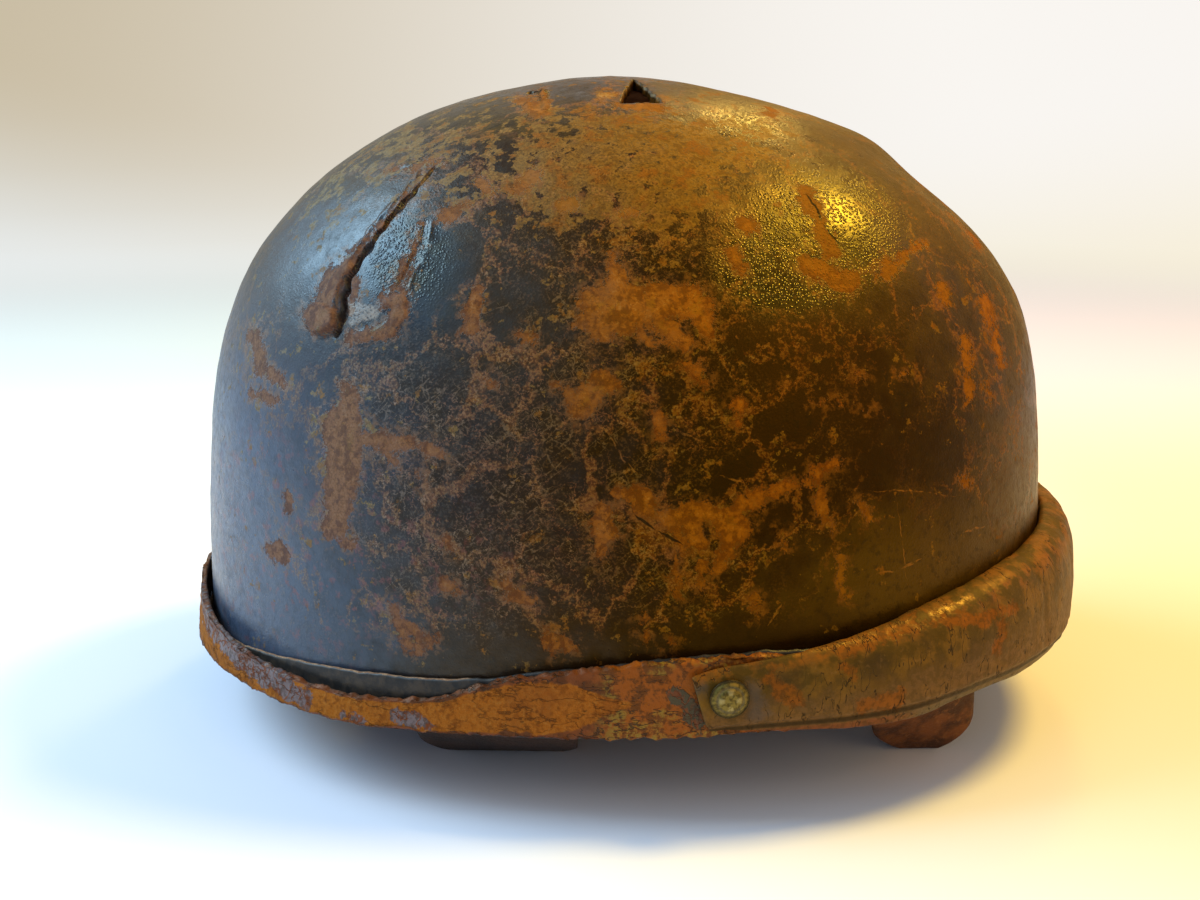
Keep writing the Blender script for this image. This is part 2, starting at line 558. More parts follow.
def dented(points):
    outward = points - DENT_CENTRE
    outward /= np.linalg.norm(outward, axis=-1, keepdims=True)
    depth = np.zeros(points.shape[:-1])
    for x, y, z, radius, deep in DENTS:
        depth += deep * np.exp(-2 * ((points - (x, y, z)) ** 2).sum(-1) / radius**2)
    return points - outward * depth[..., None]


def shell_points(t, angle):
    """Outer face of the shell; the lowest rings follow the sloping rim"""
    t, angle = np.broadcast_arrays(np.asarray(t, float), np.asarray(angle, float))
    row = shell_row(t)
    level = plan_points(row, angle)
    low = SHELL_ROWS[0][0]
    rise = RIM_MIDDLE_Z + RIM_SLOPE * level[..., 0] - low
    share = np.maximum((RIM_BLEND_Z - row[..., 0]) / (RIM_BLEND_Z - low), 0)
    raised = np.interp(row[..., 0] + rise * share, ROW_HEIGHTS, ROW_NUMBERS)
    return dented(plan_points(shell_row(np.where(share > 0, raised, t)), angle))


def shell_outward(t, angle):
    step = 0.01
    higher, lower = np.minimum(t + step, LAST_ROW - step), np.maximum(t - step, 0)
    up = shell_points(higher, angle) - shell_points(lower, angle)
    outward = np.cross(shell_points(t, angle + step) - shell_points(t, angle - step), up)
    return outward / np.linalg.norm(outward, axis=-1, keepdims=True)


def wobble(points, size, seed, waves=32):
    """Smooth random field, mostly from -1 to 1, with swells of about the given size"""
    random = np.random.default_rng(seed)
    ways = random.normal(size=(waves, points.shape[-1]))
    ways *= random.uniform(0.7, 1.5, (waves, 1)) / np.linalg.norm(ways, axis=1, keepdims=True)
    phases = random.uniform(0, 2 * math.pi, waves)
    total = np.zeros(points.shape[:-1])
    for way, phase in zip(ways, phases):
        total += np.sin(points @ way * (2 * math.pi / size) + phase)
    return total / math.sqrt(waves * 2)


def swells(points, rows):
    return sum(reach * wobble(points, size, seed) for size, reach, seed in rows)


# Where the photograph shows things
CAMERA = np.array(CAMERA_PLACE) / MM - (CENTRING_X, 0, 0)
AHEAD = np.array([0, math.sin(CAMERA_TILT), -math.cos(CAMERA_TILT)])
UPWARD = np.array([0, math.cos(CAMERA_TILT), math.sin(CAMERA_TILT)])
RIGHTWARD = np.array([1.0, 0, 0])


def photo_pixels(points):
    """Where points show in the photograph, and how many millimetres a pixel spans there"""
    away = points - CAMERA
    depth = away @ AHEAD
    x = PHOTO_WIDE / 2 + PHOTO_FOCAL * away[..., 0] / depth
    y = PHOTO_TALL / 2 - PHOTO_FOCAL * (away @ UPWARD) / depth
    return x, y, depth / PHOTO_FOCAL


def ramp(value, low, high):
    """Smooth step from 0 at low to 1 at high"""
    share = np.clip((value - low) / (high - low), 0, 1)
    return share * share * (3 - 2 * share)


def stroke_distance(x, y, stroke):
    """Distance in pixels from the edge of one tapered stroke; negative inside"""
    x0, y0, x1, y1, half, to_half = stroke
    dx, dy = x1 - x0, y1 - y0
    along = np.clip(((x - x0) * dx + (y - y0) * dy) / max(dx * dx + dy * dy, TINY), 0, 1)
    return np.hypot(x - x0 - along * dx, y - y0 - along * dy) - (half + along * (to_half - half))


def outside(x, y, strokes):
    nearest = np.full(x.shape, FAR)
    for stroke in strokes:
        nearest = np.minimum(nearest, stroke_distance(x, y, stroke))
    return nearest


def level_of(x, y, spots, base=0.0):
    """Sum of soft spots over a base, from 0 to 1"""
    total = np.full(x.shape, base)
    for at_x, at_y, half_x, half_y, level in spots:
        total += level * np.exp(-(((x - at_x) / half_x) ** 2) - ((y - at_y) / half_y) ** 2)
    return np.clip(total, 0, 1)


def stroke_heights(x, y, strokes):
    """Heights of relief strokes at points, one row a stroke"""
    heights = []
    for *stroke, height, edge in strokes:
        heights.append(height * (1 - ramp(stroke_distance(x, y, stroke), -edge / 2, edge / 2)))
    return heights


def relief_at(x, y):
    """Height in millimetres of the torn leather, and how much of a point lies in a groove"""
    places = np.stack([x, y], -1)
    x = x + UNEVEN_PIXELS * wobble(places, UNEVEN_SIZE, 71)
    y = y + UNEVEN_PIXELS * wobble(places, UNEVEN_SIZE, 72)
    groove = np.min(stroke_heights(x, y, RELIEF_STROKES), axis=0)
    raised = np.max(stroke_heights(x, y, RAISED_STROKES), axis=0)
    depth = ramp(-groove, *GROOVE_SHOWS)
    return groove + raised * (1 - depth), depth


def facing(points, normals):
    """How much points show to the camera, fading over a wavy border"""
    to_camera = CAMERA - points
    to_camera /= np.linalg.norm(to_camera, axis=-1, keepdims=True)
    wave = SEEN_WAVE * wobble(points, SEEN_WAVE_SIZE, 5)
    return ramp((to_camera * normals).sum(-1) + wave, *SEEN_SHARE)


def away_from(points, seen, strokes, turned):
    """Distance in millimetres from strokes; the far side takes them from points turned over"""
    near, far = (outside(*photo_pixels(place)[:2], strokes) for place in (points, points * turned))
    span = photo_pixels(points)[2]
    return np.clip((near * seen + far * (1 - seen)) * span, -FAR_LIMIT, FAR_LIMIT)


def charted(points, normals, turned):
    """The chart's fields at points: as the camera sees them, and on the far side from points turned over"""
    seen = facing(points, normals)
    fields = []
    for place in (points, points * turned):
        x, y, span = photo_pixels(place)
        fields.append({
            "bare": outside(x, y, BARE_STROKES) * span,
            "pale": outside(x, y, PALE_STROKES) * span,
            **{name: level_of(x, y, spots, base) for name, spots, base in SOFT_FIELDS},
        })
    near, far = fields
    blended = {name: near[name] * seen + far[name] * (1 - seen) for name in near}
    return {name: np.clip(values, -FAR_LIMIT, FAR_LIMIT) for name, values in blended.items()}, seen


# Meshes
def to_row(points):
    """From millimetres round the shell's axis to metres in the row frame"""
    return (points + (CENTRING_X, 0, 0)) * MM


def from_row(points):
    return points / MM - (CENTRING_X, 0, 0)


def add_object(name, data):
    made = bpy.data.objects.new(name, data)
    bpy.context.scene.collection.objects.link(made)
    return made


def add_mesh(name, points, faces):
    """Smooth mesh object from points in metres"""
    mesh = bpy.data.meshes.new(name)
    mesh.from_pydata(points, [], faces)
    mesh.validate()
    mesh.shade_smooth()
    return add_object(name, mesh)


def make_piece(name, points, faces):
    return add_mesh(name, to_row(points).tolist(), faces)


def ring_faces(rings, count, closed_rings=False, closed_loop=True):
    """Quads between rings of points, each ring a closed loop"""
    faces = []
    steps = rings if closed_rings else rings - 1
    around = count if closed_loop else count - 1
    for i in range(steps):
        a, b = i * count, (i + 1) % rings * count
        for j in range(around):
            k = (j + 1) % count
            faces.append((a + j, a + k, b + k, b + j))
    return faces


def swept_piece(name, points, closed_rings=False):
    """Closed skin over rings of points, with flat ends unless the rings close on themselves"""
    rings, count = points.shape[:2]
    faces = ring_faces(rings, count, closed_rings)
    if not closed_rings:
        faces.append(tuple(range(count))[::-1])
        faces.append(tuple(range((rings - 1) * count, rings * count)))
    piece = make_piece(name, points.reshape(-1, 3), faces)
    face_out(piece)
    return piece


def face_out(piece):
    """Turns the skin over if it encloses a negative volume"""
    mesh = piece.data
    places = points_of(mesh)
    mesh.calc_loop_triangles()
    corners = np.zeros(len(mesh.loop_triangles) * 3, int)
    mesh.loop_triangles.foreach_get("vertices", corners)
    a, b, c = places[corners.reshape(-1, 3)].transpose(1, 0, 2)
    if (a * np.cross(b, c)).sum() < 0:
        mesh.flip_normals()


def read_vertices(mesh, what):
    flat = np.zeros(len(mesh.vertices) * 3, np.float32)
    mesh.vertices.foreach_get(what, flat)
    return flat.reshape(-1, 3).astype(float)


def points_of(mesh):
    return from_row(read_vertices(mesh, "co"))


def store(mesh, name, values):
    """Keeps one number, or one vector, for each vertex"""
    values = np.asarray(values, np.float32)
    kind = "FLOAT" if values.ndim == 1 else "FLOAT_VECTOR"
    attribute = mesh.attributes.new(name, kind, "POINT")
    attribute.data.foreach_set("value" if values.ndim == 1 else "vector", values.ravel())


def cut(piece, cutters):
    """Cuts closed meshes out of a piece"""
    for cutter in cutters:
        modifier = piece.modifiers.new("cut", "BOOLEAN")
        modifier.operation = "DIFFERENCE"
        modifier.solver = "MANIFOLD"
        modifier.object = cutter
    done = bpy.data.meshes.new_from_object(piece.evaluated_get(bpy.context.evaluated_depsgraph_get()))
    piece.modifiers.clear()
    old = piece.data
    piece.data = done
    done.name = piece.name
    bpy.data.meshes.remove(old)
    done.shade_smooth()


def lathe_points(profile, around, middle, outward):
    """Rings of a turned form whose axis leaves a middle point along outward"""
    side = np.cross(outward, (0, 0, 1.0))
    side /= np.linalg.norm(side)
    up = np.cross(side, outward)
    turn = np.linspace(0, 2 * math.pi, around, endpoint=False)
    spokes = np.cos(turn)[:, None] * side + np.sin(turn)[:, None] * up
    return np.array([middle + along * outward + radius * spokes for radius, along in profile])


def stud_axis(side):
    """Where a stud's axis meets the shell, and its way out"""
    angle = side * math.radians(STUD_ANGLE)
    return wall_points(angle, STUD_Z, 0.0), wall_outward(angle, STUD_Z)


def stud_cutter(side):
    profile = [(STUD_HOLE_RADIUS, -CUTTER_REACH), (STUD_HOLE_RADIUS, CUTTER_REACH)]
    return swept_piece("stud_cutter", lathe_points(profile, CUTTER_AROUND, *stud_axis(side)))


def cut_out(piece, *cutters):
    """Cuts both stud holes and any other cutters out of a piece, and throws the cutters away"""
    cutters = [*cutters, stud_cutter(1), stud_cutter(-1)]
    cut(piece, cutters)
    for cutter in cutters:
        mesh = cutter.data
        bpy.data.objects.remove(cutter)
        bpy.data.meshes.remove(mesh)


def prism(name, outline):
    """Upright cutter for a hole in the top, wider upwards"""
    outline = np.array(outline)
    middle = outline.mean(0)
    rings = []
    for z, grow in ((HOLE_LOW_Z, HOLE_NARROWING), (HOLE_HIGH_Z, 1.0)):
        spread = middle + (outline - middle) * grow
        rings.append(np.column_stack([spread, np.full(len(outline), z)]))
    return swept_piece(name, np.array(rings))


def ragged_outline(corners, per_side, depth, seed):
    """Outline with torn sides between its corners"""
    corners = np.array(corners, float)
    points = []
    for start, end in zip(corners, np.roll(corners, -1, axis=0)):
        side = end - start
        out = np.array([side[1], -side[0]]) / np.linalg.norm(side)
        for k in range(per_side):
            share = k / per_side
            place = start + side * share
            torn = wobble(np.array([[*place, seed]]), TORN_SWELL, seed)[0] * depth * math.sin(math.pi * share)
            points.append(place + out * torn)
    return points


# Crown
def crown_rows():
    """Row numbers of the rings, closer together where the tear runs"""
    t = np.linspace(0, LAST_ROW, 6001)
    path = shell_points(t, -math.pi / 2)
    lengths = np.linalg.norm(np.diff(path, axis=0), axis=1)
    low, high = FINE_ROWS_Z
    fine = ramp(path[1:, 2], low - FINE_FADE, low) * (1 - ramp(path[1:, 2], high, high + FINE_FADE))
    steps = ROW_STEP + (FINE_ROW_STEP - ROW_STEP) * fine
    passed = np.concatenate([[0], np.cumsum(lengths / steps)])
    count = int(passed[-1])
    return np.interp(np.linspace(0, passed[-1], count + 1)[:-1], passed, t)


def make_crown():
    angles = np.radians(np.concatenate([np.arange(a, b - TINY, step) for a, b, step in COLUMN_STEPS]))
    rows = crown_rows()
    outer = shell_points(rows[:, None], angles)
    outward = shell_outward(rows[:, None], angles)
    to_camera = CAMERA - outer
    to_camera /= np.linalg.norm(to_camera, axis=-1, keepdims=True)
    seen = ramp((to_camera * outward).sum(-1), 0.0, 0.1)
    x, y, _ = photo_pixels(outer)
    height, _ = relief_at(x, y)
    uneven = swells(outer, SHELL_SWELLS) - SHELL_SINK
    # the rim itself stays thin and level
    uneven *= ramp(np.arange(len(rows)), 0, STILL_RINGS)[:, None]
    outer = outer + outward * (height * seen + uneven)[..., None]
    inner_rows = np.linspace(0, LAST_ROW, INNER_RINGS + 1)[:-1]
    inner = shell_points(inner_rows[:, None], angles)
    inner = inner - SHELL_WALL * shell_outward(inner_rows[:, None], angles)
    inner[0, :, 2] = outer[0, :, 2]
    count = len(angles)
    points = np.concatenate([outer[::-1], inner]).reshape(-1, 3)
    faces = ring_faces(len(rows) + INNER_RINGS, count)
    top = shell_points(LAST_ROW, 0.0) - (0, 0, POLE_DROP)
    poles = np.array([top, top - (0, 0, SHELL_WALL)])
    first, last = len(points), len(points) + 1
    end = len(points) - count
    faces += [(first, (j + 1) % count, j) for j in range(count)]
    faces += [(last, end + j, end + (j + 1) % count) for j in range(count)]
    piece = make_piece("helmet_shell", np.vstack([points, poles]), faces)
    face_out(piece)
    kinds = np.ones(len(faces), int)
    kinds[: (len(rows) - 1) * count] = 0
    kinds[-2 * count : -count] = 0
    bpy.context.view_layer.update()
    piece.data.materials.append(lacquer_material(piece))
    piece.data.materials.append(lining_material())
    piece.data.polygons.foreach_set("material_index", kinds)
    hole = prism("hole_cutter", ragged_outline(TRIANGLE_HOLE, TORN_PER_SIDE, TORN_DEPTH, 21))
    turns = np.linspace(0, 2 * math.pi, SMALL_HOLE_POINTS, endpoint=False)
    radii = SMALL_HOLE["radius"] * (1 + 0.25 * np.sin(3 * turns + 1) + 0.12 * np.sin(5 * turns))
    spot = np.column_stack([SMALL_HOLE["x"] + radii * np.cos(turns), SMALL_HOLE["y"] + radii * np.sin(turns)])
    small = prism("small_hole_cutter", spot)
    cut_out(piece, hole, small)
    chart(piece)
    return piece


def chart(piece):
    """Stores the photograph's fields on the vertices"""
    mesh = piece.data
    places, normals = points_of(mesh), read_vertices(mesh, "normal")
    fields, seen = charted(places, normals, TURNED)
    x, y, _ = photo_pixels(places)
    _, groove = relief_at(x, y)
    for name, values in fields.items():
        store(mesh, name, values)
    store(mesh, "groove", groove * seen)


# Rim band
def make_band():
    angles = np.radians(np.arange(0, 360, BAND_STEP))
    from_front = np.degrees(np.abs(np.arctan2(np.sin(angles), np.cos(angles))))
    out, up, lift, edge = np.array(BAND_SECTION).T
    rings = []
    for angle, degrees in zip(angles, from_front):
        top = smooth_table(BAND_COLUMNS, BAND_TOP, degrees)["z"]
        low = RIM_MIDDLE_Z + RIM_SLOPE * wall_points(angle, RIM_MIDDLE_Z, 0.0)[0]
        place = np.array([[math.cos(angle), math.sin(angle), 0.0]]) * BAND_RADIUS
        top = top + swells(place, BAND_SWELLS)[0]
        rings.append(wall_points(angle, low + (top - low) * up + lift, SEAT_GAP + out))
    piece = swept_piece("rim_binding", np.array(rings), closed_rings=True)
    shown = ramp(from_front, *RAW_EDGE_REAR) + RAW_EDGE_LEVEL * (1 - ramp(from_front, *RAW_EDGE_FRONT))
    store(piece.data, "edge", (edge * shown[:, None]).ravel())
    piece.data.materials.append(band_material())
    cut_out(piece)
    return piece


# Bumper
def bumper_corners(row):
    deep, low = row["outer"] - row["seat"], row["outer"] - row["inner"]
    tall, drop = row["top"] - row["fold"], row["fold"] - row["bottom"]
    ledge = min(BUMPER_LEDGE_Z, row["top"] - BUMPER_LEDGE_DROP)
    corners = [(row["seat"] + out * deep, row["top"] - down * tall) for out, down in BUMPER_FACE]
    corners += [(row["inner"] + out * low, row["fold"] - down * drop) for out, down in BUMPER_UNDERSIDE]
    corners += [(row["inner"], ledge - BUMPER_LEDGE_DROP / 2), (row["seat"], ledge)]
    return np.array(corners)


def between(a, b, from_t, to_t, t):
    """Straight from a at from_t to b at to_t"""
    return (to_t - t) / (to_t - from_t) * a + (t - from_t) / (to_t - from_t) * b


def rounded(corners, count, tension=0.5):
    """Closed curve through corners, with points spread evenly along it"""
    steps = 12
    pieces = []
    for i in range(len(corners)):
        points = [corners[(i + k) % len(corners)] for k in (-1, 0, 1, 2)]
        # knots apart by the root of their distance keep the curve from looping
        knots = [0.0]
        for a, b in zip(points, points[1:]):
            knots.append(knots[-1] + max(np.linalg.norm(b - a), TINY) ** tension)
        t = np.linspace(knots[1], knots[2], steps, endpoint=False)[:, None]
        firsts = [between(points[k], points[k + 1], knots[k], knots[k + 1], t) for k in range(3)]
        seconds = [between(firsts[k], firsts[k + 1], knots[k], knots[k + 2], t) for k in range(2)]
        pieces.append(between(*seconds, knots[1], knots[2], t))
    path = np.vstack(pieces + [corners[:1]])
    passed = np.concatenate([[0], np.cumsum(np.linalg.norm(np.diff(path, axis=0), axis=1))])
    at = np.linspace(0, passed[-1], count + 1)[:-1]
    return np.column_stack([np.interp(at, passed, path[:, k]) for k in range(2)])


def make_bumper():
    stations = np.arange(-BUMPER_END_ANGLE, BUMPER_END_ANGLE + TINY, BUMPER_STEP)
    plan = [(inset - BUMPER_END_ANGLE, size) for inset, size in BUMPER_ENDS]
    plan += [(degrees, 1.0) for degrees in stations[2:-2]]
    plan += [(BUMPER_END_ANGLE - inset, size) for inset, size in BUMPER_ENDS[::-1]]
    rows = [smooth_table(BUMPER_COLUMNS, BUMPER_ROWS, abs(degrees)) for degrees, _ in plan]
    folds, tops = (np.array([row[name] for row in rows]) for name in ("fold", "top"))
    rings = []
    for (degrees, size), row in zip(plan, rows):
        corners = rounded(bumper_corners(row), BUMPER_POINTS)
        middle = (corners.max(0) + corners.min(0)) / 2
        corners = middle + (corners - middle) * (size + (1 - size) * np.array(BUMPER_END_KEEPS))
        up = (corners[:, 1] - row["bottom"]) / (row["top"] - row["bottom"])
        slant = BUMPER_END_SLANT * ramp(abs(degrees), BUMPER_SLANT_STARTS, BUMPER_END_ANGLE)
        turned = degrees + math.copysign(slant, degrees) * up
        rings.append(wall_points(np.radians(turned), corners[:, 1], corners[:, 0]))
    rings = np.array(rings)
    along = np.array([degrees for degrees, _ in plan])
    outward = ring_outward(rings)
    # sewn from thick leather: slack swells, hard creases down the face
    rings = rings + outward * (swells(rings, BUMPER_SWELLS) - BUMPER_SINK)[..., None]
    for at, half, deep, lean in BUMPER_CREASES:
        height = np.interp(rings[..., 2], CREASE_HEIGHTS, (0, 1))
        wave = CREASE_WAVE * wobble(rings, CREASE_WAVE_SIZE, abs(at) * 7 + 3)
        off = np.abs(along[:, None] - at - lean * (height - 0.5) - wave)
        rings -= outward * (deep * np.exp(-((off / half) ** 2)) * ramp(height, 0.0, 0.2))[..., None]
    groove = np.exp(-(((rings[..., 2] - folds[:, None]) / FOLD_HALF) ** 2)) * FOLD_DEPTH
    rings -= outward * groove[..., None]
    piece = swept_piece("front_roll", rings)
    mesh = piece.data
    places = points_of(mesh)
    seen = facing(places, read_vertices(mesh, "normal"))
    store(mesh, "bare", away_from(places, seen, BUMPER_BARE, MIRRORED))
    store(mesh, "blue", away_from(places, seen, BUMPER_BLUE, MIRRORED))
    store(mesh, "flow", np.column_stack([
        np.repeat(np.radians(along) * BUMPER_RADIUS, BUMPER_POINTS),
        np.tile(np.arange(BUMPER_POINTS) * BUMPER_SPACING, len(plan)), np.zeros(len(places)),
    ]))
    folds, tops = np.repeat(folds, BUMPER_POINTS), np.repeat(tops, BUMPER_POINTS)
    store(mesh, "height", (places[:, 2] - folds) / (tops - folds))
    piece.data.materials.append(bumper_material())
    cut_out(piece)
    return piece


def ring_outward(rings):
    """Normals of a skin swept through rings of points"""
    along = np.gradient(rings, axis=0)
    around = np.roll(rings, -1, 1) - np.roll(rings, 1, 1)
    normal = np.cross(around, along)
    normal /= np.maximum(np.linalg.norm(normal, axis=-1, keepdims=True), TINY)
    middle = rings.mean(1, keepdims=True)
    sides = np.sign(((rings - middle) * normal).sum((1, 2)))
    return normal * sides[:, None, None]


# Strap
def make_strap():
    start = STRAP_ROWS[0][0]
    stations = np.arange(start, 360 - start + TINY, STRAP_STEP)
    share = np.linspace(0.03, 0.97, STRAP_FACE_POINTS)
    # outer face upwards, rounded over the upper edge, then the inner face back down
    over, turned = [0.99, 1.0, 1.0, 0.99], [0.12, 0.4, 0.7, 0.95]
    up = np.concatenate([share, over, share[::-2], 1 - np.array(over)])
    inwards = np.concatenate([0 * share, turned, np.ones(len(share[::2])), turned[::-1]])
    rings = []
    for degrees in stations:
        from_front = degrees if degrees <= 180 else 360 - degrees
        row = smooth_table(STRAP_COLUMNS, STRAP_ROWS, from_front)
        off = row["bottom_off"] + up * (row["top_off"] - row["bottom_off"]) - inwards * STRAP_THICK
        z = row["bottom"] + up * (row["top"] - row["bottom"])
        rings.append(wall_points(np.radians(degrees), z, off))
    rings = np.array(rings)
    outward = ring_outward(rings)
    count = len(up)
    outer = np.tile((inwards < 0.5).astype(float), (len(stations), 1))
    # raised fibres lean along the strap, with pits between them
    run = np.repeat(np.radians(stations)[:, None] * STRAP_RADIUS, count, 1)
    flow = np.stack([run, rings[..., 2] * FIBRE_STRETCH, 0 * run], -1)
    fibre = swells(flow, STRAP_FIBRES) - FIBRE_SINK
    warp = swells(rings, STRAP_SWELLS) - STRAP_SINK
    warp *= STRAP_BACK_WARP + (1 - STRAP_BACK_WARP) * outer
    rings = rings + outward * (fibre * outer + warp)[..., None]
    # torn edges
    edge = np.abs(up - 0.5) * 2
    torn = (swells(rings, STRAP_TEARS) - TEAR_SINK) * ramp(edge, TORN_FROM, 1.0)
    rings[..., 2] += torn * np.sign(up - 0.5)
    piece = swept_piece("back_strap", rings)
    mesh = piece.data
    places, normals = points_of(mesh), read_vertices(mesh, "normal")
    store(mesh, "flake", away_from(places, facing(places, normals), FLAKE_STROKES, MIRRORED))
    store(mesh, "flow", np.column_stack([run.ravel(), places[:, 2], 0 * run.ravel()]))
    store(mesh, "up", np.tile(up, len(stations)))
    from_stud = np.minimum(np.abs(stations - STUD_ANGLE), np.abs(360 - STUD_ANGLE - stations))
    store(mesh, "beside_stud", np.repeat(1 - ramp(from_stud, *SMOOTH_BESIDE_STUD), count))
    store(mesh, "back", np.tile(inwards, len(stations)))
    piece.data.materials.append(strap_material())
    cut_out(piece)
    return piece


# Studs
def make_stud(side, name):
    head = -SHELL_WALL - STUD_HEAD_GAP
    wide, shank, seat, cap = STUD_HEAD_RADIUS, STUD_SHANK_RADIUS, STUD_CAP_SEAT, STUD_CAP_RADIUS
    low = head - STUD_HEAD_THICK
    profile = [
        (0.02, low), (wide * 0.6, low), (wide - 0.5, low), (wide - 0.1, low + 0.2), (wide, low + 0.5),
        (wide, head), (shank, head), (shank, seat), (cap * 0.6, seat), (cap - 0.15, seat),
        (cap, seat + 0.15), (cap, seat + 0.45), (cap - 0.12, seat + 0.68),
    ]
    for share in np.linspace(0.94, 0.0, 22):
        # domed face with worn hollow rings
        dome = STUD_CAP_RISE * (1 - share**2.6) * 0.97 + 0.02
        hollow = sum(deep * math.exp(-(((share - at) / half) ** 2)) for at, half, deep in STUD_HOLLOWS)
        rise = max(dome - hollow, 0.7 * STUD_CAP_RISE * (1 - share**6))
        profile.append((max(cap * share, 0.02), seat + rise))
    middle, outward = stud_axis(side)
    piece = swept_piece(name, lathe_points(profile, STUD_AROUND, middle, outward))
    mesh = piece.data
    places = points_of(mesh) - middle
    along = places @ outward
    radial = places - along[:, None] * outward
    up = np.array([0, 0, 1.0]) - outward * outward[2]
    up /= np.linalg.norm(up)
    across = np.cross(outward, up)
    store(mesh, "face", np.column_stack([radial @ across, radial @ up, along - seat]) / cap)
    mesh.materials.append(stud_material())
    return piece


# Tongues
def inner_wall_y(x, z):
    inset = -SHELL_WALL - TAB_GAP - TAB_THICK / 2
    angles = np.linspace(0, math.pi, 721)
    path = wall_points(angles, z, inset)
    return np.interp(-x, -path[:, 0], path[:, 1])


def make_tab(tab, side, name):
    # the soles narrow to a rounded end
    steps = smooth_table(("step",) + TAB_COLUMNS, [(i, *row) for i, row in enumerate(TAB_ROWS)],
                         np.linspace(0, len(TAB_ROWS) - 1, TAB_DOWN))
    middle = []
    for way, beyond, z, wide in zip(*(steps[name] for name in TAB_COLUMNS)):
        way = min(max(way, 0), 1) ** tab["rise"]
        row = []
        for share in np.linspace(-0.5, 0.5, TAB_ACROSS):
            across = share * tab["width"]
            root = inner_wall_y(tab["x"] + across, max(z, TAB_ROOT_Z))
            round_end = math.sqrt(1 - (1 - min(max(z, 1.0) / TAB_ROUND_Z, 1)) ** 2)
            narrow = math.sqrt(wide) * (1 - tab["rounding"] * (1 - round_end))
            x = tab["x"] + across * narrow + tab["drift"] * way
            row.append((x, root + way * (tab["sole_y"] - root) - max(beyond, 0), max(z, 1.0)))
        middle.append(row)
    middle = np.array(middle)
    down, right = np.gradient(middle, axis=0), np.gradient(middle, axis=1)
    out = np.cross(down, right)
    out /= np.linalg.norm(out, axis=-1, keepdims=True)
    half = TAB_THICK / 2 - TAB_SINK
    thinning = TAB_THINNING * ramp(np.abs(np.linspace(-1, 1, TAB_ACROSS)), TAB_THIN_FROM, 1.0)
    thin = half * (1 - thinning)[None, :, None]
    warp = np.minimum(swells(middle, TAB_SWELLS)[..., None], TAB_SINK - 0.01)
    outer = middle - out * (thin + warp)
    inner = middle + out * (thin - warp)
    rings = np.concatenate([outer, inner[:, ::-1]], 1)
    rings[..., 2] = np.maximum(rings[..., 2], TAB_LIFT)
    rings[..., 1] *= side
    piece = swept_piece(name, rings)
    piece.data.materials.append(tongue_material())
    return piece


# Materials; sizes are in millimetres
NOISE_STEPS = (17.3, 31.7, 11.9)
CELL_STEPS = (13.1, 7.7, 23.9)


class Value:
    """What a node gives out, to be reckoned with like a number"""

    def __init__(self, shader, socket):
        self.shader = shader
        self.socket = socket

    def __add__(self, other):
        return self.shader.math("ADD", self, other)

    def __radd__(self, other):
        return self.shader.math("ADD", other, self)

    def __sub__(self, other):
        return self.shader.math("SUBTRACT", self, other)

    def __rsub__(self, other):
        return self.shader.math("SUBTRACT", other, self)

    def __mul__(self, other):
        return self.shader.math("MULTIPLY", self, other)

    def __rmul__(self, other):
        return self.shader.math("MULTIPLY", other, self)

    def __truediv__(self, other):
        return self.shader.math("DIVIDE", self, other)

    def __abs__(self):
        return self.shader.math("ABSOLUTE", self)


